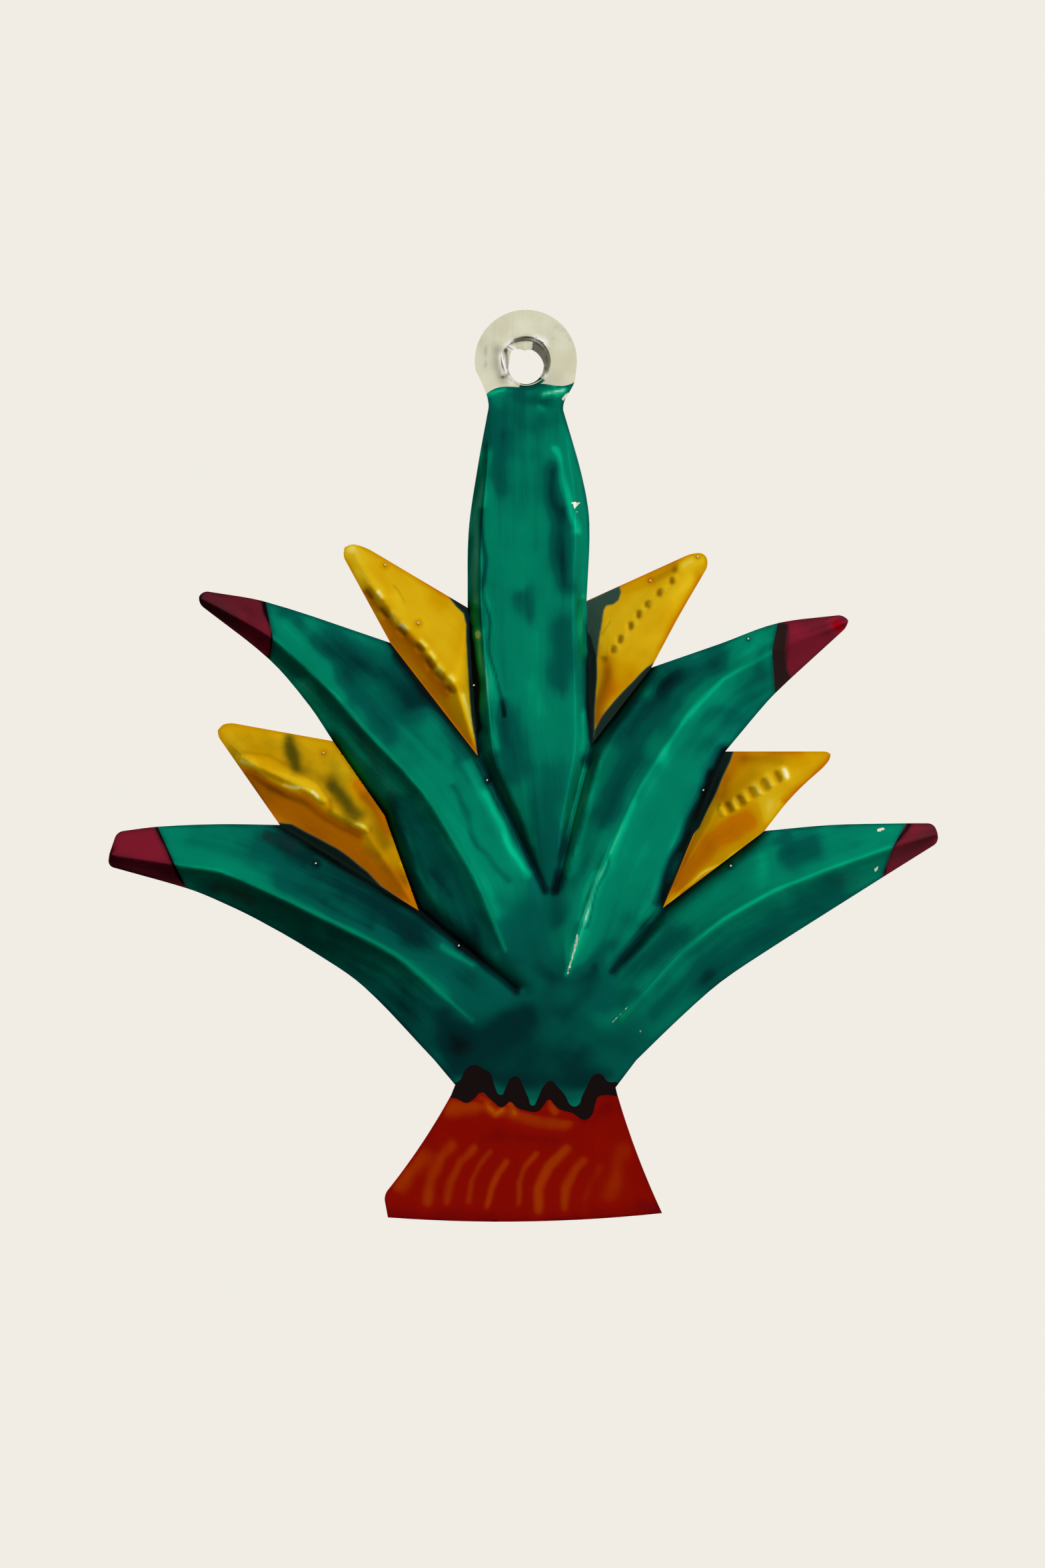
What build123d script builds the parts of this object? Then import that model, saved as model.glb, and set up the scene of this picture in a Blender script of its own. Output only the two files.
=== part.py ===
from build123d import *
from math import cos, radians, sin
import os

# Hanging tin ornament in the shape of an agave plant in a flared foot.
#
# One thin tin sheet is cut to the outline, punched for hanging and embossed from the back into a
# central spike, four curved leaves and four small pointed leaves behind them. Translucent lacquer is
# then brushed on, one film for each colour area. The sheet and every lacquer film are separate solids.
#
# Frame: +Z up, +X to the viewer's right, the painted front faces -Y. The origin is the centre of the
# hanging hole, in the middle of its short wall. All sizes are millimetres.

# Overall size: across the tips of the lower leaves, and from the hole's centre down to the foot's edge
LEAF_SPAN = 100.0
HANGING_DROP = 102.85

# Sheet and lacquer
SHEET_THICKNESS = 0.30
COAT_THICKNESS = 0.08

# Hanging loop: a punched hole with a torn lip pushed to the back, in a flat round head
HOLE_DIAMETER = 4.1
LIP_WIDTH = 0.9
LIP_DEPTH = 0.9
LIP_RISE = 0.7
RIM_WIDTH = 3.2
LOOP_END_ANGLE = 10.0

# Upper edge of the green lacquer, left to right under the hole: angle around the lip, gap from it
LACQUER_EDGE = ((-115.0, 0.5), (-90.0, 0.2), (-62.0, 0.2), (-36.0, 2.2))

# Emboss heights above the flat outline, and the grooves behind it
LEAF_HEIGHT = 2.4
SPIKE_HEIGHT = 2.2
SPIKE_BEVEL = 1.6
SMALL_LEAF_HEIGHT = 1.3
HEART_HEIGHT = 0.5
GROOVE_DEPTH = 0.5

# Cross-section of a leaf from its edge to its ridge: shares of the width, and of the rise there
PROFILE_SHARES = (0.22, 0.72)
GROOVE_RISES = (0.50, 0.70)
CUT_RISES = (0.26, 0.66)

# How the ridge of a leaf rises from its tip to its root, as shares of the leaf's height
RIDGE_SHARES = (0.35, 0.60, 0.85, 1.0, 1.0, 0.85, 0.30)
SPIKE_SHARES = (0.0, 0.75, 1.0, 1.0, 0.85, 0.60, 0.0)
SPIKE_BEVEL_SHARES = (0.35, 0.75, 1.0, 1.0, 1.3, 0.8, 0.1)
SPIKE_BEVEL_RISE = 0.75


# The lip's wall is centred on the origin, so the flat front of the sheet lies in front of it
FRONT_FACE = -(LIP_DEPTH + SHEET_THICKNESS / 2)


def raised(x, z, height):
    """A point of the drawing, pushed out of the sheet towards the viewer by a height.

    The drawing's x counts in hundredths of the leaf span, and its z in hundredths of the hanging drop.
    """
    return Vector(x * LEAF_SPAN / 100, FRONT_FACE - height, z * HANGING_DROP / 100)


def cut(x, z):
    """A point of the drawing on the flat outline of the sheet."""
    return raised(x, z, 0.0)


def groove(x, z):
    """A point of the drawing at the bottom of a groove between two leaves."""
    return raised(x, z, -GROOVE_DEPTH)


# Points that two neighbouring forms share, from the loop down to the foot
LACQUER_LEFT, LACQUER_RIGHT = cut(-4.75, -3.2), cut(5.85, -1.8)
NECK_LEFT, NECK_RIGHT = cut(-4.5, -4.9), cut(4.5, -5.1)
SPIKE_NOTCH_LEFT, SPIKE_NOTCH_RIGHT = cut(-7.0, -28.2), cut(7.3, -27.4)
SPIKE_APEX_LEFT, SPIKE_APEX_RIGHT = groove(-5.8, -45.5), groove(7.9, -44.2)
CROTCH_LEFT, CROTCH_RIGHT = groove(2.3, -61.3), groove(3.4, -61.3)
SPIKE_GROOVE_LEFT = (SPIKE_APEX_LEFT + CROTCH_LEFT) / 2
SPIKE_GROOVE_RIGHT = (SPIKE_APEX_RIGHT + CROTCH_RIGHT) / 2
UPPER_NOTCH_LEFT, UPPER_NOTCH_RIGHT = cut(-16.3, -32.3), cut(15.1, -35.2)
UPPER_GROOVE_LEFT = (UPPER_NOTCH_LEFT + SPIKE_APEX_LEFT) / 2
SIDE_NOTCH_LEFT, SIDE_NOTCH_RIGHT = cut(-23.2, -43.8), cut(24.0, -45.0)
SIDE_GROOVE_LEFT, SIDE_GROOVE_RIGHT = groove(-17.0, -52.5), groove(20.2, -54.6)
SIDE_APEX_LEFT, SIDE_APEX_RIGHT = groove(-12.9, -63.6), groove(16.5, -63.3)
LOWER_NOTCH_LEFT, LOWER_NOTCH_RIGHT = cut(-29.6, -53.6), cut(28.7, -54.3)
LOWER_GROOVE_LEFT, LOWER_GROOVE_RIGHT = groove(-21.4, -58.5), groove(22.6, -58.8)
GROOVE_END_LEFT, GROOVE_END_RIGHT = groove(-1.2, -72.9), groove(10.4, -70.7)
HEART = raised(2.1, -74.1, HEART_HEIGHT)
FOOT_TOP_LEFT, FOOT_TOP_RIGHT = cut(-11.0, -81.1), cut(13.3, -81.1)

# Outer edge of the spike below the neck, down to the notches
SPIKE_LEFT_CUT = [cut(-5.8, -11.8), cut(-6.9, -19.5)]
SPIKE_RIGHT_CUT = [cut(6.8, -13.0), cut(7.65, -18.4)]

# Upper left leaf, tip to root: upper edge, ridge line, lower edge
UPPER_LEFT_TOP = [
    cut(-38.9, -26.2), cut(-31.3, -27.5), UPPER_NOTCH_LEFT, UPPER_GROOVE_LEFT, SPIKE_APEX_LEFT,
    SPIKE_GROOVE_LEFT, CROTCH_LEFT,
]
UPPER_LEFT_RIDGE = [
    (-39.3, -26.9), (-30.4, -31.8), (-22.8, -38.6), (-19.5, -42.3), (-12.3, -49.8), (-6.2, -59.4),
    (-2.5, -68.3),
]
UPPER_LEFT_BOTTOM = [
    cut(-39.4, -27.7), cut(-30.8, -34.3), cut(-26.0, -39.7), SIDE_NOTCH_LEFT, SIDE_GROOVE_LEFT,
    SIDE_APEX_LEFT, GROOVE_END_LEFT,
]

# Upper right leaf
UPPER_RIGHT_TOP = [
    cut(38.2, -29.0), cut(30.3, -30.0), cut(23.4, -32.4), UPPER_NOTCH_RIGHT, SPIKE_APEX_RIGHT,
    SPIKE_GROOVE_RIGHT, CROTCH_RIGHT,
]
UPPER_RIGHT_RIDGE = [
    (38.8, -29.7), (29.6, -33.3), (23.8, -36.6), (19.4, -40.9), (13.6, -49.4), (9.2, -58.9), (4.8, -71.2),
]
UPPER_RIGHT_BOTTOM = [
    cut(38.7, -30.4), cut(30.0, -38.2), cut(27.0, -41.5), SIDE_NOTCH_RIGHT, SIDE_GROOVE_RIGHT,
    SIDE_APEX_RIGHT, GROOVE_END_RIGHT,
]

# Lower left leaf
LOWER_LEFT_TOP = [
    cut(-49.2, -54.4), cut(-44.3, -53.8), cut(-36.8, -53.5), LOWER_NOTCH_LEFT, LOWER_GROOVE_LEFT,
    SIDE_APEX_LEFT, GROOVE_END_LEFT,
]
LOWER_LEFT_RIDGE = [
    (-50.1, -57.0), (-42.2, -58.2), (-36.8, -59.0), (-30.8, -61.5), (-23.6, -64.8), (-15.5, -68.8),
    (-6.5, -76.4),
]
LOWER_LEFT_BOTTOM = [
    cut(-50.3, -58.4), cut(-40.8, -61.0), cut(-37.6, -62.2), cut(-32.4, -64.6), cut(-25.6, -68.4),
    cut(-19.5, -72.5), FOOT_TOP_LEFT,
]

# Lower right leaf
LOWER_RIGHT_TOP = [
    cut(49.1, -53.4), cut(45.8, -53.4), cut(36.7, -53.6), LOWER_NOTCH_RIGHT, LOWER_GROOVE_RIGHT,
    SIDE_APEX_RIGHT, GROOVE_END_RIGHT,
]
LOWER_RIGHT_RIDGE = [
    (49.5, -54.5), (44.2, -56.0), (36.6, -58.6), (29.8, -61.3), (23.8, -64.6), (18.5, -68.6), (11.6, -76.0),
]
LOWER_RIGHT_BOTTOM = [
    cut(49.7, -55.6), cut(42.8, -59.8), cut(35.8, -64.1), cut(29.5, -68.0), cut(23.4, -72.0),
    cut(18.5, -76.2), FOOT_TOP_RIGHT,
]

# Small pointed leaves: the tip above, at and below its nose, and the outer and inner end of the ridge
SMALL_UPPER_LEFT = [(-19.3, -21.1), (-21.4, -20.6), (-22.2, -21.8), (-17.8, -26.6), (-8.3, -37.5)]
SMALL_UPPER_RIGHT = [(20.0, -21.8), (21.6, -21.8), (22.0, -23.2), (18.4, -24.9), (10.4, -33.6)]
SMALL_LOWER_LEFT = [(-35.8, -41.6), (-36.95, -42.1), (-37.2, -43.0), (-33.4, -45.9), (-19.6, -53.7)]
SMALL_LOWER_RIGHT = [(36.6, -45.0), (36.8, -45.6), (36.0, -46.7), (31.4, -47.5), (22.9, -52.5)]

# How far the lower edges of the small leaves on the right bow inward
BOW_UPPER_RIGHT = 0.3
BOW_LOWER_RIGHT = 0.6

# Flared foot below the waist, and the toothed dark band across its top
WAIST_LEFT, WAIST_RIGHT = cut(-8.5, -84.0), cut(10.8, -84.3)
BAND_LEFT, BAND_RIGHT = cut(-9.0, -85.2), cut(11.0, -85.1)
FOOT_LEFT_MIDDLE, FOOT_RIGHT_MIDDLE = cut(-13.6, -92.4), cut(13.6, -92.6)
HEEL_LEFT, TOE_LEFT = cut(-17.1, -96.9), cut(-16.6, -99.5)
TOE_MIDDLE, TOE_RIGHT = cut(-2.5, -100.0), cut(16.4, -99.0)
BAND_TOP = [
    (-7.2, -82.1), (-5.0, -81.9), (-3.0, -85.0), (-1.3, -83.1), (0.8, -86.0), (2.7, -83.8), (6.0, -86.0),
    (8.4, -83.0),
]
BAND_BOTTOM = [
    (-7.0, -86.0), (-5.4, -84.8), (-2.9, -86.4), (-2.0, -85.9), (1.1, -87.1), (2.8, -85.6), (7.1, -87.9),
    (8.6, -85.2),
]

SIDES = ("left", "right")

# Two edges are the same one when their middles are this close
SAME_PLACE = 0.001


def chain(points, straight_from=None):
    """Joins points into edges, smooth from one to the next, and straight after a given point."""
    edges = []
    for i, (start, end) in enumerate(zip(points, points[1:])):
        if straight_from is not None and i >= straight_from:
            edges.append(Edge.make_line(start, end))
            continue
        before = points[max(i - 1, 0)]
        after = end if i + 1 == straight_from else points[min(i + 2, len(points) - 1)]
        edges.append(Edge.make_spline([start, end], tangents=[end - before, after - start]))
    return edges


def strip(first, second):
    """Ruled panels between two chains of edges."""
    return [Face.make_surface_from_curves(a, b) for a, b in zip(first, second)]


def triangle(a, b, c):
    """One flat panel."""
    return Face(Wire.make_polygon([a, b, c]))


def flat(edges):
    """One flat panel inside a closed run of edges."""
    return Face(Wire(edges))


def polyline(points):
    """Straight edges from point to point."""
    return [Edge.make_line(a, b) for a, b in zip(points, points[1:])]


def outline_end(edge):
    """The last station of a leaf's edge that is still on the flat outline, before its groove."""
    return max(station for station, point in enumerate(edge) if point.Y == FRONT_FACE)


def half_leaf(edge, ridge):
    """The lines of one side of a leaf, from its edge to its ridge, each with a point at every station."""
    lines = [edge]
    first_groove = outline_end(edge)
    for level, share in enumerate(PROFILE_SHARES):
        line = []
        for station, (low, high) in enumerate(zip(edge, ridge)):
            rises = GROOVE_RISES if station >= first_groove else CUT_RISES
            place = low + (high - low) * share
            line.append(Vector(place.X, low.Y + (high.Y - low.Y) * rises[level], place.Z))
        lines.append(line)
    return lines


def leaf(top, ridge, bottom):
    """A curved leaf: its panels from tip to root, station by station, and the line across its root."""
    crest = [raised(x, z, LEAF_HEIGHT * share) for (x, z), share in zip(ridge, RIDGE_SHARES)]
    lines = half_leaf(top, crest) + [crest] + half_leaf(bottom, crest)[::-1]
    inner = [chain(line) for line in lines[1:-1]]
    edges = [chain(top, outline_end(top)), *inner, chain(bottom, outline_end(bottom))]
    columns = [strip(a, b) for a, b in zip(edges, edges[1:])]
    stations = [[column[i] for column in columns] for i in range(len(top) - 1)]
    return stations, [line[-1] for line in lines]


def small_leaf(points, top_edge, bottom_edge, bow=0.0):
    """A pointed leaf behind the others: flat panels on both sides of a low ridge.

    top_edge and bottom_edge run from the notch, where the outline ends, down the grooves to the apex.
    """
    tip_top, nose, tip_bottom = [cut(*point) for point in points[:3]]
    outer, inner = [raised(*point, SMALL_LEAF_HEIGHT) for point in points[3:]]
    top_notch, bottom_notch = top_edge[0], bottom_edge[0]
    lower_cut = [tip_bottom, bottom_notch]
    if bow:
        middle = (tip_bottom + bottom_notch) / 2
        inward = Vector(outer.X - middle.X, 0, outer.Z - middle.Z).normalized()
        lower_cut.insert(1, middle + inward * bow)
    panels = [triangle(notch, outer, inner) for notch in (top_notch, bottom_notch)]
    panels += fan([top_notch, tip_top, nose, *lower_cut], outer)
    panels += fan([*bottom_edge, *top_edge[-2::-1]], inner)
    return panels


def spike(left, right):
    """The upright middle leaf: a raised crown between two bevels. Its panels and its lowest line."""
    middle = []
    creases = {side: [] for side in SIDES}
    for i, (a, b) in enumerate(zip(left, right)):
        across = Vector(b.X - a.X, 0, b.Z - a.Z).normalized()
        base = (a.Y + b.Y) / 2
        bevel = across * (SPIKE_BEVEL * SPIKE_BEVEL_SHARES[i])
        height = SPIKE_HEIGHT * SPIKE_SHARES[i]
        crown = (a + b) / 2
        middle.append(Vector(crown.X, base - height, crown.Z))
        for side, corner in (("left", a + bevel), ("right", b - bevel)):
            creases[side].append(Vector(corner.X, base - height * SPIKE_BEVEL_RISE, corner.Z))
    notch = left.index(SPIKE_NOTCH_LEFT)
    lines = [left, creases["left"], middle, creases["right"], right]
    edges = [chain(left, notch), *[chain(line) for line in lines[1:-1]], chain(right, notch)]
    panels = [face for a, b in zip(edges, edges[1:]) for face in strip(a, b)]
    return panels, [line[0] for line in lines], [line[-1] for line in lines]


def loop_head(neck_line):
    """The flat head around the hanging hole: bare panel with the lip, and the lacquered neck panel."""
    hole = HOLE_DIAMETER / 2
    mouth = hole + LIP_WIDTH
    loop = mouth + RIM_WIDTH

    def around(radius, angle, centre=LIP_RISE, depth=0.0):
        turn = radians(angle)
        return Vector(radius * cos(turn), FRONT_FACE + depth, centre + radius * sin(turn))

    def ring(radius, centre, depth):
        quarters = []
        for start in range(0, 360, 90):
            points = [around(radius, start + step, centre, depth) for step in (0, 45, 90)]
            quarters.append(Edge.make_three_point_arc(*points))
        return quarters

    loop_left, loop_right = around(loop, 180 + LOOP_END_ANGLE), around(loop, -LOOP_END_ANGLE)
    over = Edge.make_three_point_arc(loop_left, around(loop, 90), loop_right)
    left_side = chain([loop_left, LACQUER_LEFT, NECK_LEFT, SPIKE_LEFT_CUT[0]])
    right_side = chain([loop_right, LACQUER_RIGHT, NECK_RIGHT, SPIKE_RIGHT_CUT[0]])
    under_hole = [around(mouth + gap, angle) for angle, gap in LACQUER_EDGE]
    lacquer_edge = Edge.make_spline([LACQUER_LEFT, *under_hole, LACQUER_RIGHT])
    mouth_ring, throat_ring = ring(mouth, LIP_RISE, 0.0), ring(hole, 0.0, LIP_DEPTH)
    head = Wire([over, right_side[0], lacquer_edge, left_side[0]])
    bare = [Face(head, [Wire(mouth_ring)]), *strip(mouth_ring, throat_ring)]
    necked = flat([lacquer_edge, right_side[1], *polyline(neck_line), left_side[1]])
    return bare, necked


def foot():
    """The flat flared foot: lacquer areas above, in and below the toothed band."""
    band_top = polyline([WAIST_LEFT, *[cut(*p) for p in BAND_TOP], WAIST_RIGHT])
    band_bottom = polyline([BAND_LEFT, *[cut(*p) for p in BAND_BOTTOM], BAND_RIGHT])
    above = flat(polyline([WAIST_LEFT, FOOT_TOP_LEFT, FOOT_TOP_RIGHT, WAIST_RIGHT]) + band_top)
    ends = polyline([WAIST_LEFT, BAND_LEFT]) + polyline([WAIST_RIGHT, BAND_RIGHT])
    band = flat(band_top + band_bottom + ends)
    below = flat([
        *band_bottom,
        Edge.make_three_point_arc(BAND_LEFT, FOOT_LEFT_MIDDLE, HEEL_LEFT),
        Edge.make_line(HEEL_LEFT, TOE_LEFT),
        Edge.make_three_point_arc(TOE_LEFT, TOE_MIDDLE, TOE_RIGHT),
        Edge.make_three_point_arc(TOE_RIGHT, FOOT_RIGHT_MIDDLE, BAND_RIGHT),
    ])
    return above, band, below


def fan(points, centre):
    """Flat panels from a run of points to one centre point."""
    return [triangle(a, b, centre) for a, b in zip(points, points[1:])]


def plate(panels, front, back):
    """Closes panels that join edge to edge into one solid between two depths."""
    skin = Shell(panels) if len(panels) > 1 else panels[0]
    uses = {}
    for face in skin.faces():
        for edge in face.edges():
            middle = edge @ 0.5
            key = tuple(round(value / SAME_PLACE) for value in middle)
            uses.setdefault(key, []).append(edge)
    rim = [edges[0] for edges in uses.values() if len(edges) == 1]
    near, far = Location((0, front, 0)), Location((0, back, 0))
    walls = [Face.extrude(edge.moved(near), (0, back - front, 0)) for edge in rim]
    faces = [face.moved(place) for place in (near, far) for face in skin.faces()]
    return Solid(Shell(faces + walls))


def build():
    """Every piece by its node name."""
    left = [NECK_LEFT, *SPIKE_LEFT_CUT, SPIKE_NOTCH_LEFT]
    left += [SPIKE_APEX_LEFT, SPIKE_GROOVE_LEFT, CROTCH_LEFT]
    right = [NECK_RIGHT, *SPIKE_RIGHT_CUT, SPIKE_NOTCH_RIGHT]
    right += [SPIKE_APEX_RIGHT, SPIKE_GROOVE_RIGHT, CROTCH_RIGHT]
    spike_panels, neck_line, spike_root = spike(left, right)
    bare_loop, green_neck = loop_head(neck_line)
    above, band, below = foot()
    leaves = {
        "upper_left": leaf(UPPER_LEFT_TOP, UPPER_LEFT_RIDGE, UPPER_LEFT_BOTTOM),
        "upper_right": leaf(UPPER_RIGHT_TOP, UPPER_RIGHT_RIDGE, UPPER_RIGHT_BOTTOM),
        "lower_left": leaf(LOWER_LEFT_TOP, LOWER_LEFT_RIDGE, LOWER_LEFT_BOTTOM),
        "lower_right": leaf(LOWER_RIGHT_TOP, LOWER_RIGHT_RIDGE, LOWER_RIGHT_BOTTOM),
    }
    roots = {name: root for name, (_, root) in leaves.items()}
    ring = [*spike_root, *roots["upper_right"][1:], *roots["lower_right"][1:]]
    ring += [*roots["lower_left"][::-1], *roots["upper_left"][-2::-1]]
    small_leaves = {
        "upper_left": small_leaf(
            SMALL_UPPER_LEFT,
            [SPIKE_NOTCH_LEFT, SPIKE_APEX_LEFT],
            [UPPER_NOTCH_LEFT, UPPER_GROOVE_LEFT, SPIKE_APEX_LEFT],
        ),
        "upper_right": small_leaf(
            SMALL_UPPER_RIGHT,
            [SPIKE_NOTCH_RIGHT, SPIKE_APEX_RIGHT],
            [UPPER_NOTCH_RIGHT, SPIKE_APEX_RIGHT],
            BOW_UPPER_RIGHT,
        ),
        "lower_left": small_leaf(
            SMALL_LOWER_LEFT,
            [SIDE_NOTCH_LEFT, SIDE_GROOVE_LEFT, SIDE_APEX_LEFT],
            [LOWER_NOTCH_LEFT, LOWER_GROOVE_LEFT, SIDE_APEX_LEFT],
        ),
        "lower_right": small_leaf(
            SMALL_LOWER_RIGHT,
            [SIDE_NOTCH_RIGHT, SIDE_GROOVE_RIGHT, SIDE_APEX_RIGHT],
            [LOWER_NOTCH_RIGHT, LOWER_GROOVE_RIGHT, SIDE_APEX_RIGHT],
            BOW_LOWER_RIGHT,
        ),
    }
    green = [green_neck, *spike_panels, *fan(ring, HEART), above]
    coats = {"red_foot_lacquer": [below], "dark_band_lacquer": [band]}
    for name, (stations, _) in leaves.items():
        coats[f"crimson_tip_lacquer_{name}"] = stations[0]
        green += [face for station in stations[1:] for face in station]
    for name, panels in small_leaves.items():
        coats[f"yellow_leaf_lacquer_{name}"] = panels
    coats["green_lacquer"] = green
    everything = bare_loop + [face for panels in coats.values() for face in panels]
    pieces = {"tin_sheet": plate(everything, 0.0, SHEET_THICKNESS)}
    for name, panels in coats.items():
        pieces[name] = plate(panels, -COAT_THICKNESS, 0.0)
    return pieces


def main():
    os.makedirs("parts", exist_ok=True)
    for name, piece in build().items():
        piece.label = name
        export_step(piece, f"parts/{name}.step")
        print(f"{name}: {piece.volume:.2f} mm3, valid {piece.is_valid}")


main()
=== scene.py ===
"""Looks of a hanging tin ornament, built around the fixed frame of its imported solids.

One embossing die carries the whole beaten relief. The tin sheet and each lacquer film are fine sheets,
cut to the outline of their own solid and pressed on the die, so that they lie on each other everywhere.
Lengths in the drawing are millimetres, across and up from the centre of the hanging hole.
"""

from __future__ import annotations

import logging
import math
from collections.abc import Callable, Iterator
from contextlib import contextmanager
from dataclasses import dataclass, field
from enum import Enum

import bmesh
import bpy
import numpy as np
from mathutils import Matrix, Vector
from mathutils.kdtree import KDTree

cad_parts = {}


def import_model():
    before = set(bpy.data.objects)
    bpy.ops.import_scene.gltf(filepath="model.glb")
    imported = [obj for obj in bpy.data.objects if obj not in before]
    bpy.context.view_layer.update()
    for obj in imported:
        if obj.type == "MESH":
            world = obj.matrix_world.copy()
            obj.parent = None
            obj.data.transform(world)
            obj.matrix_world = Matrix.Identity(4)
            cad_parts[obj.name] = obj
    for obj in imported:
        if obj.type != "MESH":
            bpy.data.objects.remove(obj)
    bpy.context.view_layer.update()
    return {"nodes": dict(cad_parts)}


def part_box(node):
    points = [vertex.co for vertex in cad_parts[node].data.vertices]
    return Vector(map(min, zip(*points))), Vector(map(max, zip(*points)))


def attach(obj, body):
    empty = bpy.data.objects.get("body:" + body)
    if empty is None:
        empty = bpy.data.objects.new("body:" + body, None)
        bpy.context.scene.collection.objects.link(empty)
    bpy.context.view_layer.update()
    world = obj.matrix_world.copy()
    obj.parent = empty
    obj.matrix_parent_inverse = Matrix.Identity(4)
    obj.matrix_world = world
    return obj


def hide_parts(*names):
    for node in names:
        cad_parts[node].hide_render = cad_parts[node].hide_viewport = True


LOG = logging.getLogger("tin_ornament")

Point = tuple[float, float]
Line = tuple[Point, ...]
Place = tuple[float, float, float]
Colour = tuple[float, float, float]
Wave = tuple[float, float, float, float]
Strokes = tuple["Stroke", ...]
Piece = bpy.types.Object
Nodes = dict[str, Piece]
Socket = bpy.types.NodeSocket

MM = 0.001
BODY = "root"
UPRIGHT = (math.pi / 2, 0.0, 0.0)

# Level of the sheet's flat front, and thicknesses, in millimetres
FRONT_LEVEL = -1.05
SHEET = 0.30
COAT = 0.08
BAND_STEP = 0.05

# How high the middle of the torn mouth lies above that of the hole, in millimetres
MOUTH_CENTRE = 0.7

# How far helpers stay clear of the ornament, and how near two vertices count as one, in millimetres
CLEAR = 8.0
SAME_PLACE = 0.001

# The map along the pull of the brush, and how many millimetres one unit of it stands for
PULL_MAP = "brush_pull"
PULL_UNIT = 10.0

# Layers of soft noise and of finer noise
PLAIN_LAYERS = 2.0
FINE_LAYERS = 3.0

TIN_COLOUR: Colour = (0.80, 0.78, 0.66)


class Quarter(Enum):
    """The four places that a leaf or a small leaf can have around the spike."""

    UPPER_LEFT = "upper_left"
    UPPER_RIGHT = "upper_right"
    LOWER_LEFT = "lower_left"
    LOWER_RIGHT = "lower_right"


class Slot(Enum):
    """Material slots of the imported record."""

    BARE_TIN = "bare_tin"
    GREEN = "green_lacquer"
    YELLOW = "yellow_lacquer"
    CRIMSON = "crimson_lacquer"
    RED = "red_lacquer"
    DARK = "dark_lacquer"


class Trim(Enum):
    """What a cut keeps of a sheet."""

    INSIDE = "INTERSECT"
    OUTSIDE = "DIFFERENCE"


# Lines of the relief: ridges from tip to root, the axes that the brush followed elsewhere, the two creases of
# the spike, and the grooves between the leaves
LEAF_RIDGES: dict[Quarter, Line] = {
    Quarter.UPPER_LEFT: (
        (-39.3, -27.7), (-30.4, -32.7), (-22.8, -39.7), (-19.5, -43.5), (-12.3, -51.2), (-6.2, -61.1),
        (-2.5, -70.2),
    ),
    Quarter.UPPER_RIGHT: (
        (38.8, -30.5), (29.6, -34.3), (23.8, -37.6), (19.4, -42.1), (13.6, -50.8), (9.2, -60.6), (4.8, -73.2),
    ),
    Quarter.LOWER_LEFT: (
        (-50.1, -58.6), (-42.2, -59.9), (-36.8, -60.7), (-30.8, -63.3), (-23.6, -66.6), (-15.5, -70.8),
        (-6.5, -78.6),
    ),
    Quarter.LOWER_RIGHT: (
        (49.5, -56.1), (44.2, -57.6), (36.6, -60.3), (29.8, -63.0), (23.8, -66.4), (18.5, -70.6),
        (11.6, -78.2),
    ),
}
SPIKE_AXIS: Line = ((0.0, -2.0), (0.3, -20.0), (0.9, -45.0), (2.8, -63.0), (2.7, -70.0))
LOOP_AXIS: Line = ((0.0, 12.0), (0.0, -2.0))
FOOT_AXIS: Line = ((2.6, -80.0), (2.6, -110.0))
SPIKE_CREASES: tuple[Line, ...] = (
    ((-3.9, -5.0), (-4.6, -12.1), (-5.3, -20.1), (-5.4, -29.0), (-3.7, -46.8), (-0.5, -54.9), (2.4, -63.0)),
    ((3.9, -5.2), (5.6, -13.4), (6.0, -18.9), (5.7, -28.2), (5.8, -45.5), (4.4, -54.3), (3.3, -63.0)),
)
SMALL_RIDGES: dict[Quarter, Line] = {
    Quarter.UPPER_LEFT: ((-21.4, -21.2), (-17.8, -27.4), (-8.3, -38.6), (-5.8, -46.8)),
    Quarter.UPPER_RIGHT: ((21.6, -22.4), (18.4, -25.6), (10.4, -34.6), (7.9, -45.5)),
    Quarter.LOWER_LEFT: ((-37.0, -43.3), (-33.4, -47.2), (-19.6, -55.2), (-12.9, -65.4)),
    Quarter.LOWER_RIGHT: ((36.8, -46.9), (31.4, -48.9), (22.9, -54.0), (16.5, -65.1)),
}
GROOVES: tuple[Line, ...] = (
    ((-7.0, -29.0), (-5.8, -46.8), (2.3, -63.0)),
    ((7.3, -28.2), (7.9, -45.5), (3.4, -63.0)),
    ((-16.3, -33.2), (-5.8, -46.8)),
    ((15.1, -36.2), (7.9, -45.5)),
    ((-23.2, -45.0), (-17.0, -54.0), (-12.9, -65.4), (-1.2, -75.0)),
    ((24.0, -46.3), (20.2, -56.2), (16.5, -65.1), (10.4, -72.7)),
    ((-29.6, -55.1), (-21.4, -60.2), (-12.9, -65.4)),
    ((28.7, -55.8), (22.6, -60.5), (16.5, -65.1)),
)

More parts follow.
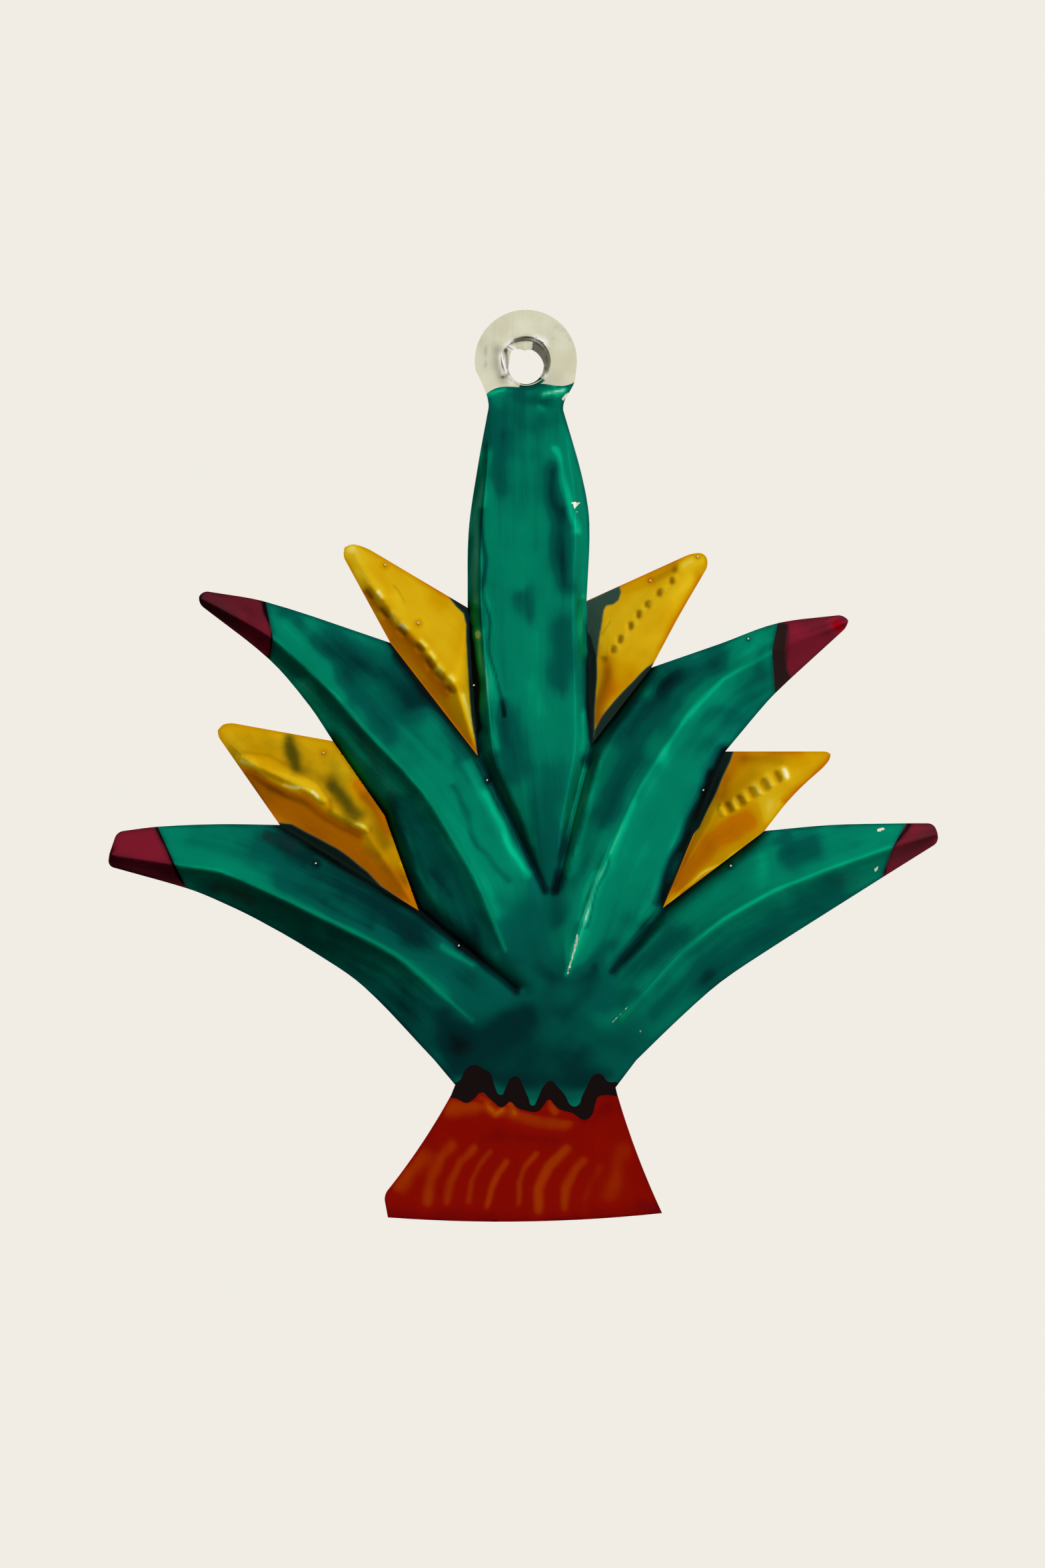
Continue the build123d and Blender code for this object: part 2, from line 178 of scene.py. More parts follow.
# The way around the dark band and its teeth
BAND_RIM: Line = (
    (-9.1, -86.5), (-7.9, -85.8), (-7.3, -84.6), (-6.4, -84.0), (-5.2, -84.4), (-4.2, -85.1), (-3.8, -86.4),
    (-3.0, -87.6), (-2.4, -86.7), (-1.8, -85.6), (-1.0, -85.4), (-0.4, -86.4), (0.3, -87.9), (0.8, -88.9),
    (1.4, -88.1), (2.1, -86.6), (3.0, -85.9), (3.8, -86.6), (4.7, -87.6), (5.5, -88.9), (6.2, -88.9),
    (6.8, -87.7), (7.5, -86.3), (8.2, -85.2), (9.0, -85.1), (9.9, -86.0), (11.2, -86.2), (11.4, -87.5),
    (9.6, -87.6), (8.75, -87.8), (8.35, -88.7), (7.9, -90.1), (7.1, -90.6), (5.6, -89.8), (4.0, -89.3),
    (3.4, -88.75), (2.8, -88.15), (2.2, -88.8), (1.4, -89.6), (0.1, -89.5), (-1.1, -89.1), (-1.9, -88.45),
    (-2.4, -88.8), (-3.0, -89.1), (-3.7, -88.6), (-4.3, -88.1), (-5.4, -87.3), (-6.1, -87.95),
    (-7.1, -88.55), (-8.2, -88.1), (-9.4, -87.6),
)

# Corners of the outline that the shears left soft, by their radius in millimetres
SOFT_CORNERS: dict[float, Line] = {
    0.7: (
        (20.0, -22.4), (21.6, -22.4), (22.0, -23.9), (-35.8, -42.8), (-37.0, -43.3), (-37.2, -44.2),
        (36.6, -46.3), (36.8, -46.9), (36.0, -48.0), (-38.9, -26.9), (-39.4, -28.5), (38.2, -29.8),
        (38.7, -31.3), (-49.2, -56.0), (-50.3, -60.1), (49.1, -54.9), (49.7, -57.2), (-17.1, -99.7),
    ),
    0.9: ((-19.3, -21.7), (-21.4, -21.2), (-22.2, -22.4)),
    2.5: ((32.2, -51.4), (18.5, -29.7)),
}


@dataclass(frozen=True)
class Stroke:
    """One pull of the brush: where lacquer lies thicker, or thinner where the amount is below zero, often as
    painted shade and painted highlight.
    """

    line: Line
    width: float
    amount: float


@dataclass(frozen=True)
class OverlapPatch:
    """Where another colour runs over a film: it tints at a depth of 0.5, and at 1 it hides what is below."""

    outline: Line
    depth: float


def strikes(places: Line, reach: Point = (0.01, 0.01)) -> tuple[Line, ...]:
    """Short lines of one kind, one through each place.

    Args:
        places: Their middles.
        reach: From a line's middle to its end.

    Returns:
        The lines.
    """
    x, z = reach
    return tuple(((a - x, b - z), (a + x, b + z)) for a, b in places)


def dabs(places: Line, width: float, amount: float, reach: Point = (0.05, 0.05)) -> Strokes:
    """Short strokes of one kind, one at each place.

    Args:
        places: Their middles.
        width: How wide they are, in millimetres.
        amount: What each leaves.
        reach: From a stroke's middle to its end.

    Returns:
        The strokes.
    """
    return tuple(Stroke(line, width, amount) for line in strikes(places, reach))


# Where the chasing tools worked the small leaves
UPPER_LEFT_NOTCHES: Line = (
    (-18.8, -27.4), (-17.0, -29.6), (-14.9, -31.8), (-12.8, -33.9), (-11.6, -35.8), (-10.3, -37.2),
    (-9.0, -38.9),
)
UPPER_LEFT_SPURS: Line = (
    (-17.3, -27.7), (-15.9, -29.8), (-14.7, -31.1), (-12.4, -33.5), (-11.5, -34.8), (-10.4, -36.2),
    (-9.0, -37.5),
)
UPPER_RIGHT_DENTS: Line = (
    (17.5, -25.8), (16.0, -27.2), (14.6, -28.6), (13.5, -29.8), (12.5, -31.2), (11.3, -32.8), (10.5, -34.1),
)
UPPER_RIGHT_FAINT: Line = ((17.8, -24.4), (9.4, -35.3))
LOWER_RIGHT_FINGERS: Line = (
    (31.0, -48.9), (29.4, -49.9), (28.0, -50.8), (26.4, -51.8), (25.0, -52.7), (23.6, -53.5),
)
LOWER_RIGHT_GAPS: Line = ((30.2, -49.4), (28.7, -50.4), (27.2, -51.3), (25.7, -52.3), (24.3, -53.1))
LOWER_LEFT_BEAD: Line = ((-34.6, -47.1), (-32.0, -48.2), (-28.2, -49.6), (-25.6, -51.0), (-24.3, -52.0))
LOWER_LEFT_BEAD_END: Line = ((-23.2, -53.4), (-20.6, -55.0), (-19.0, -55.6))

# What brush, chasing tools and time left on each film, with painted highlight and painted shade for the light
# on the relief
# Lacquer tone of the green, pooled dark in the grooves, with painted highlights on lit bevels and ridges and
# painted shade on facets turned from the light
GREEN_TONE_AND_PAINTED_LIGHT: Strokes = (
    Stroke(((-13.0, -80.5), (-5.0, -82.5), (4.0, -83.5), (12.0, -82.5)), 4.2, 0.16),
    Stroke(((-24.0, -71.5), (-16.0, -76.0), (-9.0, -81.0)), 3.2, 0.08),
    Stroke(((-30.0, -59.0), (-20.0, -63.5), (-9.0, -71.5), (-3.0, -77.0)), 3.0, 0.18),
    Stroke(((-32.0, -30.5), (-25.0, -33.0), (-17.0, -37.5)), 2.6, 0.04),
    Stroke(((-8.0, -84.8), (-2.0, -86.0), (4.0, -86.6), (10.0, -85.6)), 1.6, 0.20),
    Stroke(((-5.3, -17.0), (-4.9, -28.0), (-4.0, -36.0), (-2.5, -42.0)), 0.25, 0.40),
    Stroke(((-4.0, -6.0), (-4.8, -12.5)), 1.4, 0.16),
    Stroke(((3.2, -12.8), (4.0, -19.0), (4.7, -26.0)), 1.2, 0.30),
    Stroke(((-0.4, -28.0), (0.4, -30.2)), 1.3, 0.16),
    Stroke(((4.2, -31.8), (4.3, -38.0)), 1.9, 0.22),
    Stroke(((-2.6, -43.0), (-1.6, -48.0)), 1.9, 0.24),
    Stroke(((2.6, -50.0), (2.8, -61.0)), 2.8, 0.18),
    Stroke(((5.0, -11.5), (6.2, -16.0), (6.8, -23.0), (6.8, -35.0)), 0.8, -0.05),
    Stroke(((-4.8, -27.0), (-4.3, -35.0), (-3.2, -39.5)), 0.6, -0.22),
    Stroke(((1.0, -32.0), (1.2, -41.0)), 2.3, -0.12),
    Stroke(((-0.3, -19.5), (-0.4, -26.0)), 0.8, -0.10),
    Stroke(((2.4, -28.5), (2.6, -30.5)), 1.0, -0.08),
    Stroke(((2.0, -3.4), (3.2, -3.1), (4.6, -2.5)), 0.28, -0.50),
    Stroke(((3.4, -3.5), (4.6, -2.9)), 0.22, -0.25),
    Stroke(((-4.6, -3.2), (-2.6, -2.6)), 0.30, -0.38),
    Stroke(((2.2, -1.9), (3.4, -2.3)), 0.30, -0.42),
    Stroke(((-1.2, -3.4), (0.0, -4.2), (2.2, -4.1)), 0.70, 0.12),
    Stroke(((-3.4, -5.2), (0.5, -6.8), (3.6, -6.4)), 1.2, 0.07),
    Stroke(((1.7, -4.8), (2.0, -5.0)), 0.25, -0.22),
    Stroke(((0.0, -5.0), (0.0, -9.0), (0.3, -15.0)), 3.6, 0.07),
    Stroke(((3.5, -10.0), (4.2, -12.8), (5.3, -16.0), (5.9, -20.0)), 0.50, -0.32),
    Stroke(((-5.0, -11.0), (-6.2, -20.0), (-6.2, -28.0)), 0.9, -0.43),
    Stroke(((-23.5, -34.0), (-17.5, -37.0), (-13.5, -40.0)), 2.4, 0.28),
    Stroke(((-28.8, -31.5), (-25.5, -35.0), (-22.0, -39.5)), 1.1, -0.14),
    Stroke(((-15.0, -41.5), (-11.5, -46.0)), 2.6, 0.10),
    Stroke(((-13.5, -42.5), (-9.5, -50.0), (-5.5, -59.0), (-3.6, -65.5)), 1.7, -0.06),
    Stroke(((-9.0, -50.5), (-7.0, -54.0), (-5.6, -58.0), (-2.4, -61.5)), 0.5, 0.16),
    Stroke(((-4.8, -51.2), (-2.6, -56.0), (0.4, -61.0)), 0.6, -0.26),
    Stroke(((-26.5, -39.0), (-21.0, -45.0), (-14.5, -54.0), (-9.5, -61.5), (-5.5, -69.5)), 1.9, 0.24),
    Stroke(((17.0, -37.8), (12.5, -44.0)), 2.3, 0.26),
    Stroke(((23.0, -35.4), (16.5, -38.0)), 1.7, 0.20),
    Stroke(((12.8, -47.5), (9.8, -54.0)), 1.5, 0.22),
    Stroke(((9.8, -46.0), (7.5, -52.0), (4.6, -60.0)), 0.8, -0.04),
    Stroke(((28.0, -33.0), (23.0, -37.6), (18.5, -42.4)), 0.9, -0.14),
    Stroke(((16.6, -46.4), (12.2, -54.0), (8.2, -63.0), (6.2, -71.0)), 1.4, -0.13),
    Stroke(((19.0, -48.5), (15.0, -57.0), (12.5, -63.0)), 1.6, -0.08),
    Stroke(((27.5, -38.0), (25.5, -42.5)), 2.2, 0.10),
    Stroke(((22.0, -36.0), (13.0, -46.0), (6.0, -60.0)), 2.2, 0.06),
    Stroke(((11.5, -63.0), (8.5, -70.0)), 2.2, 0.06),
    Stroke(((-4.0, -64.0), (-6.5, -68.5)), 1.8, 0.08),
    Stroke(((-14.0, -69.0), (-7.5, -73.5)), 2.0, 0.08),
    Stroke(((23.6, -46.8), (21.6, -50.6)), 1.1, 0.24),
    Stroke(((22.4, -49.4), (19.9, -54.4), (17.6, -59.6), (16.0, -64.5)), 0.70, 0.46),
    Stroke(((-6.9, -31.2), (-6.2, -38.0), (-5.8, -43.0)), 0.55, 0.70),
    Stroke(((7.9, -31.5), (7.9, -44.5)), 0.45, 0.55),
    Stroke(((6.9, -28.0), (7.2, -34.0)), 0.7, -0.44),
    Stroke(((-5.9, -32.0), (-5.5, -34.5), (-4.6, -40.0), (-3.9, -45.8)), 0.7, -0.38),
    Stroke(((7.2, -48.6), (5.0, -60.0)), 0.9, -0.42),
    Stroke(((-26.6, -38.4), (-23.8, -42.6), (-20.4, -46.8), (-17.0, -51.2)), 1.2, -0.52),
    Stroke(((0.4, -66.6), (1.4, -72.0)), 2.6, 0.22),
    Stroke(((3.2, -73.6), (8.0, -72.4)), 1.4, 0.16),
    Stroke(((-15.6, -34.8), (-10.4, -42.0), (-7.4, -46.6)), 0.8, 0.20),
    Stroke(((22.0, -73.5), (16.0, -77.5)), 1.6, 0.14),
    Stroke(((15.4, -48.0), (13.4, -51.4)), 0.9, 0.14),
    Stroke(((16.4, -36.8), (14.4, -39.0)), 0.8, -0.20),
    Stroke(((4.8, -17.0), (5.4, -19.4)), 0.6, 0.18),
    Stroke(((25.2, -42.4), (22.6, -45.4)), 1.0, 0.12),
    Stroke(((-23.0, -65.6), (-19.0, -67.4)), 1.0, 0.16),
    Stroke(((9.6, -77.0), (13.0, -75.4)), 1.2, 0.16),
    Stroke(((8.4, -61.0), (6.6, -66.4)), 0.7, -0.18),
    Stroke(((28.4, -33.8), (28.2, -36.6)), 0.9, 0.10),
    Stroke(((-3.0, -67.6), (-1.6, -71.0)), 1.4, 0.14),
    Stroke(((-29.0, -29.6), (-27.0, -30.6)), 0.8, 0.12),
    Stroke(((-18.4, -45.6), (-14.8, -50.6)), 0.9, -0.14),
    Stroke(((31.0, -56.6), (29.0, -57.6)), 0.8, 0.16),
    Stroke(((7.0, -42.0), (7.0, -46.0)), 0.6, -0.26),
    Stroke(((-2.6, -8.6), (-3.2, -14.6)), 1.2, 0.15),
    Stroke(((-29.4, -61.8), (-24.4, -64.4)), 1.1, 0.16),
    Stroke(((16.4, -64.4), (15.2, -66.2)), 0.8, -0.20),
    Stroke(((9.8, -69.4), (8.4, -71.4)), 1.0, 0.14),
    Stroke(((23.4, -41.4), (21.4, -42.2)), 0.9, 0.10),
    Stroke(((-8.0, -47.8), (-6.8, -49.8)), 0.9, 0.10),
    Stroke(((-11.0, -60.8), (-9.4, -63.6)), 0.9, 0.10),
    Stroke(((3.6, -63.8), (3.8, -66.4)), 1.0, 0.13),
    Stroke(((-14.0, -74.8), (-10.0, -77.6)), 1.2, 0.13),
    Stroke(((-22.4, -37.6), (-19.4, -40.4), (-16.4, -44.2)), 1.3, 0.22),
    Stroke(((-30.8, -56.2), (-26.5, -58.6)), 1.5, 0.24),
    Stroke(((-24.0, -61.4), (-13.5, -67.5)), 2.8, 0.18),
    Stroke(((-38.0, -62.6), (-30.0, -66.0), (-22.0, -70.6), (-14.0, -77.6)), 2.0, 0.10),
    Stroke(((-42.0, -57.6), (-35.0, -60.0), (-31.0, -61.8)), 1.5, -0.03),
    Stroke(((-9.8, -69.6), (-6.2, -72.0)), 0.5, -0.24),
    Stroke(((-8.0, -80.5), (0.0, -82.5), (6.0, -83.0)), 3.4, 0.16),
    Stroke(((-3.4, -80.0), (2.4, -76.4)), 1.8, 0.05),
    Stroke(((0.6, -77.4), (3.8, -75.6), (6.6, -74.4)), 2.6, 0.15),
    Stroke(((-6.5, -29.8), (-5.9, -32.2)), 0.5, -0.26),
    Stroke(((-5.2, -44.6), (-4.8, -46.4)), 0.5, -0.20),
    Stroke(((-36.0, -63.4), (-33.2, -64.6)), 1.0, -0.14),
    Stroke(((6.0, -70.0), (5.1, -72.8)), 0.6, -0.10),
    Stroke(((-7.0, -79.4), (2.0, -79.6), (10.0, -80.4)), 3.0, 0.05),
    Stroke(((-16.0, -76.4), (-11.0, -79.4), (-8.6, -82.4)), 2.0, 0.05),
    Stroke(((-40.0, -57.0), (-33.0, -58.4)), 1.5, 0.07),
    Stroke(((10.1, -58.8), (8.9, -62.4), (7.1, -67.6)), 0.14, 0.30),
    Stroke(((37.0, -63.0), (30.0, -67.2), (21.5, -72.8)), 2.3, 0.20),
    Stroke(((34.2, -57.8), (32.0, -58.6)), 1.6, 0.24),
    Stroke(((44.0, -55.6), (40.5, -58.6), (31.0, -62.3), (23.5, -66.8)), 0.7, -0.06),
    Stroke(((29.0, -58.0), (28.0, -61.6)), 1.4, -0.14),
    Stroke(((13.2, -71.8), (18.5, -68.6)), 1.8, 0.16),
    Stroke(((9.0, -74.5), (5.0, -77.5)), 2.0, 0.14),
    Stroke(((5.4, -82.0), (9.0, -79.0), (13.0, -76.0), (18.5, -71.5)), 0.9, -0.02),
)
# Painted dark reflections: reddish black patches where the metal mirrors the dark room
GREEN_PAINTED_DARK_REFLECTIONS: Strokes = (
    Stroke(((-21.0, -43.0), (-18.4, -47.0), (-16.2, -51.5)), 1.2, 0.38),
    Stroke(((-31.4, -56.6), (-28.0, -57.8)), 1.2, 0.30),
    Stroke(((-37.0, -62.4), (-33.0, -64.2)), 1.1, 0.55),
    Stroke(((-4.4, -80.6), (3.0, -76.2)), 1.0, 0.16),
    Stroke(((37.8, -62.0), (40.6, -61.4)), 1.2, 0.25),
)
# Chips that show the tin, and pale painted glints such as the streak beside the neck
GREEN_CHIPS_AND_GLINTS: Strokes = (
    Stroke(((5.55, -16.3), (6.1, -16.6), (6.35, -16.4)), 0.14, 1.0),
    Stroke(((5.9, -16.6), (6.05, -17.5)), 0.13, 1.0),
    Stroke(((6.3, -68.2), (5.7, -70.6), (5.0, -73.0)), 0.22, 0.62),
    Stroke(((4.5, -3.9), (5.0, -3.3)), 0.24, 0.8),
    Stroke(((42.4, -55.8), (43.0, -55.5)), 0.30, 0.7),
    Stroke(((42.0, -60.6), (42.3, -60.2)), 0.22, 0.7),
    Stroke(((10.4, -78.9), (11.3, -77.9), (12.4, -76.8)), 0.09, 0.58),
    Stroke(((13.7, -80.0), (14.0, -80.0)), 0.16, 0.7),
)
GREEN_BUBBLES: Line = (
    (-6.2, -38.4), (-4.6, -49.8), (-25.2, -59.8), (-8.0, -69.7), (21.4, -51.0), (26.8, -32.8), (24.7, -60.1),
    (7.8, -36.2),
)
# Lacquer tone of the small leaves, with painted highlights and glints on ridges, spurs, bead and fingers, and
# painted shade on their lower facets
YELLOW_TONE_AND_PAINTED_LIGHT: dict[Quarter, Strokes] = {
    Quarter.UPPER_LEFT: (
        Stroke(((-21.2, -22.0), (-20.0, -23.2)), 0.9, -0.12),
        Stroke(((-21.8, -22.2), (-20.6, -21.5)), 0.6, -0.14),
        Stroke(((-17.6, -22.5), (-13.0, -25.3), (-9.3, -27.8)), 0.45, 0.12),
        Stroke(((-11.0, -27.6), (-10.0, -28.6)), 0.8, 0.10),
        Stroke(((-15.6, -27.8), (-14.6, -29.3)), 0.7, -0.08),
        Stroke(((-19.8, -24.8), (-17.6, -27.0)), 0.8, -0.12),
        Stroke(((-19.2, -27.4), (-15.2, -32.0), (-11.9, -36.0), (-9.2, -39.4)), 0.80, 0.24),
        Stroke(((-17.6, -31.2), (-13.4, -36.0), (-9.4, -41.4), (-6.6, -45.6)), 1.10, 0.20),
        *dabs(UPPER_LEFT_SPURS, 0.34, -0.26, (0.22, -0.26)),
        Stroke(((-15.4, -30.4), (-14.6, -31.2)), 0.30, -0.16),
        Stroke(((-7.3, -39.6), (-6.0, -45.6)), 0.25, -0.26),
    ),
    Quarter.UPPER_RIGHT: (
        Stroke(((20.8, -23.3), (19.2, -24.0)), 0.7, -0.20),
        Stroke(((19.6, -25.6), (17.6, -27.8)), 0.5, -0.10),
        Stroke(((20.9, -25.4), (18.2, -30.2), (16.0, -33.8)), 0.40, 0.16),
        Stroke(((18.4, -23.4), (12.0, -26.6)), 0.8, 0.14),
        *dabs(tuple((x + 0.55, z + 0.40) for x, z in UPPER_RIGHT_DENTS), 0.40, -0.12),
        Stroke(((9.7, -35.8), (9.7, -39.0), (8.7, -43.0)), 0.95, 0.26),
        Stroke(((12.4, -37.2), (10.8, -39.4)), 1.1, 0.14),
        Stroke(((14.6, -36.6), (9.0, -44.2)), 0.22, -0.18),
    ),
    Quarter.LOWER_LEFT: (
        Stroke(((-32.5, -50.2), (-28.0, -53.6), (-21.5, -57.8), (-15.6, -63.2)), 2.4, 0.38),
        Stroke(((-33.4, -48.9), (-29.0, -51.2), (-25.0, -53.4), (-20.0, -56.6)), 0.55, 0.26),
        Stroke(((-33.2, -48.6), (-31.4, -50.0)), 0.7, -0.12),
        Stroke(((-20.4, -50.2), (-16.8, -55.6)), 0.8, 0.30),
        Stroke(LOWER_LEFT_BEAD, 0.60, -0.14),
        Stroke(((-34.2, -47.3), (-31.8, -48.9), (-29.2, -50.1), (-26.6, -51.0), (-24.8, -52.2)), 0.22, -0.20),
        Stroke(LOWER_LEFT_BEAD_END, 0.34, -0.18),
        Stroke(((-29.2, -50.0), (-27.4, -50.7)), 0.24, -0.20),
        Stroke(((-25.9, -51.4), (-25.2, -51.9)), 0.22, -0.20),
        Stroke(((-20.4, -55.2), (-19.6, -55.6)), 0.30, -0.16),
        Stroke(((-14.6, -60.0), (-13.6, -62.6)), 0.36, -0.50),
    ),
    Quarter.LOWER_RIGHT: (
        Stroke(((25.2, -47.2), (23.4, -51.2)), 1.5, 0.24),
        Stroke(((26.5, -46.8), (33.0, -46.8)), 0.8, 0.14),
        Stroke(((36.6, -46.9), (34.2, -49.4), (31.4, -51.9)), 0.45, 0.22),
        Stroke(((29.4, -52.2), (28.8, -53.6)), 1.1, -0.14),
        *dabs(LOWER_RIGHT_FINGERS[::2], 0.40, -0.22, (0.24, -0.46)),
        *dabs(LOWER_RIGHT_FINGERS[1::2], 0.30, -0.16, (0.24, -0.5)),
        Stroke(((30.9, -48.5), (31.2, -49.2)), 0.40, -0.16),
        Stroke(((26.5, -54.6), (22.0, -57.8), (18.4, -62.6)), 1.7, 0.36),
        Stroke(((28.3, -56.3), (22.8, -60.1), (17.2, -64.5)), 0.22, -0.34),
    ),
}
# Olive painted reflections on the lower left leaf, painted shade between the fingers of the lower right one,
# and small stains
YELLOW_STAINS_AND_SHADE: dict[Quarter, Strokes] = {
    Quarter.UPPER_LEFT: (
        Stroke(((-15.9, -26.4), (-14.3, -28.4)), 0.22, 0.40),
        Stroke(((-20.5, -21.8), (-21.1, -22.9)), 0.10, 0.40),
    ),
    Quarter.UPPER_RIGHT: (
        Stroke(((10.1, -30.6), (9.3, -32.0)), 0.16, 0.45),
        Stroke(((9.6, -37.4), (8.6, -42.8)), 0.9, 0.35),
    ),
    Quarter.LOWER_LEFT: (
        Stroke(((-28.1, -45.0), (-27.9, -48.0)), 0.95, 0.58),
        Stroke(((-23.2, -50.6), (-20.4, -54.2)), 1.30, 0.86),
        Stroke(((-34.0, -45.2), (-26.0, -47.2), (-21.0, -48.6)), 2.2, 0.40),
        Stroke(((-18.4, -58.2), (-15.0, -62.0)), 1.2, 0.40),
        Stroke(((-26.6, -48.6), (-25.0, -49.8)), 0.8, 0.30),
    ),
    Quarter.LOWER_RIGHT: (
        *dabs(LOWER_RIGHT_GAPS[::2], 0.32, 0.30, (0.2, -0.45)),
        Stroke(((26.5, -47.0), (32.0, -47.0)), 0.9, 0.28),
        Stroke(((24.6, -49.2), (23.0, -52.4)), 0.6, 0.30),
    ),
}
# Brown lacquer pooled in the chased dents, and painted shade in the notches under the ridges and on the lower
# facets
YELLOW_DENTS_AND_SHADE: dict[Quarter, Strokes] = {
    Quarter.UPPER_LEFT: (
        *dabs(UPPER_LEFT_NOTCHES, 0.40, 0.55, (0.25, -0.30)),
        Stroke(((-19.2, -27.2), (-15.2, -31.7), (-11.9, -35.5), (-9.2, -39.0)), 0.42, 0.35),
        Stroke(((-10.2, -39.4), (-7.0, -44.4)), 1.0, 0.15),
    ),
    Quarter.UPPER_RIGHT: (
        *dabs(UPPER_RIGHT_DENTS, 0.32, 0.80, (0.0, 0.14)),
        *dabs(UPPER_RIGHT_FAINT, 0.36, 0.45),
        Stroke(((18.0, -24.0), (15.4, -25.6)), 0.50, 0.28),
        Stroke(((9.8, -36.6), (9.4, -39.4), (8.6, -42.8)), 0.8, 0.40),
    ),
    Quarter.LOWER_LEFT: (
        Stroke(((-31.4, -49.9), (-29.0, -51.0), (-25.0, -53.0), (-20.0, -56.3)), 0.50, 0.30),
        Stroke(((-30.5, -51.5), (-24.0, -55.8)), 1.6, 0.14),
        Stroke(((-34.0, -46.4), (-30.8, -46.9), (-27.6, -48.4), (-25.2, -50.1), (-23.6, -52.1)), 0.26, 0.26),
        Stroke(((-23.6, -52.3), (-23.4, -52.9)), 0.30, 0.30),
        Stroke(((-18.4, -56.2), (-16.4, -58.6), (-15.0, -61.6)), 1.1, 0.26),
        Stroke(((-19.4, -51.8), (-18.2, -54.4), (-16.8, -57.2)), 1.0, 0.50),
    ),
    Quarter.LOWER_RIGHT: (
        *dabs(LOWER_RIGHT_GAPS, 0.32, 0.50, (0.2, -0.42)),
        Stroke(((25.2, -47.2), (23.6, -51.0)), 1.2, 0.22),
        Stroke(((26.5, -47.2), (30.4, -47.5)), 0.9, 0.32),
        Stroke(((24.2, -52.2), (27.2, -49.2)), 1.1, 0.32),
        Stroke(((22.0, -58.0), (18.4, -62.4)), 1.1, 0.24),
    ),
}
YELLOW_BUBBLES: dict[Quarter, Line] = {
    Quarter.UPPER_LEFT: ((-16.9, -23.9), (-12.9, -30.9)),
    Quarter.UPPER_RIGHT: ((20.7, -22.9), (15.0, -25.8)),
    Quarter.LOWER_LEFT: ((-24.3, -46.5),),
    Quarter.LOWER_RIGHT: (),
}
YELLOW_OVERLAPS: dict[Quarter, tuple[OverlapPatch, ...]] = {
    Quarter.UPPER_LEFT: (
        OverlapPatch(
            (
                (-9.3, -27.7), (-8.4, -28.9), (-7.5, -29.7), (-7.1, -31.0), (-7.0, -36.0), (-6.5, -42.0),
                (-5.9, -46.4), (-5.4, -47.0), (-5.5, -42.0), (-6.0, -29.0),
            ),
            0.95,
        ),
    ),
    Quarter.UPPER_RIGHT: (
        OverlapPatch(
            (
                (6.6, -28.5), (11.3, -26.4), (11.5, -27.2), (11.2, -28.1), (10.5, -28.6), (9.6, -28.8),
                (9.3, -29.4), (9.0, -32.0), (8.6, -35.0), (7.2, -35.0),
            ),
            0.5,
        ),
        OverlapPatch(
            (
                (7.2, -31.6), (7.9, -32.4), (8.5, -34.6), (8.4, -40.0), (8.1, -44.6), (8.1, -46.0),
                (7.2, -46.0),
            ),
            0.95,
        ),
        OverlapPatch(
            (
                (15.6, -35.5), (14.6, -36.2), (12.2, -38.5), (10.6, -40.3), (9.2, -42.1), (8.3, -43.6),
                (7.8, -45.8), (8.6, -45.4), (12.0, -41.2), (15.8, -36.2),
            ),
            0.85,
        ),
    ),
    Quarter.LOWER_LEFT: (
        OverlapPatch(
            (
                (-29.8, -54.9), (-28.2, -55.1), (-25.4, -56.5), (-22.9, -57.9), (-20.8, -59.4),
                (-19.2, -60.7), (-17.4, -62.6), (-16.0, -63.6), (-13.0, -65.5), (-21.4, -60.8),
                (-29.8, -55.8),
            ),
            0.96,
        ),
    ),
    Quarter.LOWER_RIGHT: (
        OverlapPatch(
            ((23.4, -45.9), (25.0, -46.0), (24.6, -47.4), (23.0, -50.8), (20.9, -55.4), (19.8, -56.6)), 0.95
        ),
    ),
}
# Lacquer tone of the tips, with painted bright patches and glints
CRIMSON_TONE_AND_PAINTED_LIGHT: dict[Quarter, Strokes] = {
    Quarter.UPPER_LEFT: (
        Stroke(((-34.4, -30.6), (-33.0, -32.0)), 0.8, -0.28),
        Stroke(((-33.4, -28.8), (-31.8, -29.4)), 0.9, 0.10),
        Stroke(((-31.4, -33.6), (-30.9, -34.6)), 0.5, -0.35),
        Stroke(((-31.2, -28.0), (-30.4, -31.6), (-30.6, -35.0)), 0.45, 0.60),
        Stroke(((-38.0, -28.4), (-34.0, -30.6)), 2.2, 0.28),
    ),
    Quarter.UPPER_RIGHT: (
        Stroke(((33.8, -31.0), (36.4, -31.2)), 1.0, 0.08),
        Stroke(((37.4, -30.8), (38.0, -31.4)), 0.7, -0.42),
        Stroke(((30.2, -31.0), (29.2, -35.0), (29.6, -38.6), (30.4, -39.0)), 0.32, 0.80),
        Stroke(((31.6, -31.4), (31.1, -34.0), (31.4, -36.4), (32.2, -37.8)), 0.18, 0.30),
    ),
    Quarter.LOWER_LEFT: (
        Stroke(((-44.5, -55.6), (-42.0, -60.0), (-41.0, -62.2)), 0.35, 0.50),
        Stroke(((-49.4, -60.2), (-45.4, -61.0), (-42.0, -61.8)), 0.9, 0.28),
        Stroke(((-48.4, -57.2), (-44.0, -57.8)), 1.2, -0.09),
    ),
    Quarter.LOWER_RIGHT: (
        Stroke(((46.0, -55.0), (43.2, -59.0), (43.0, -60.6)), 0.35, 0.45),
        Stroke(((48.6, -57.0), (45.6, -58.6)), 1.0, 0.12),
    ),
}
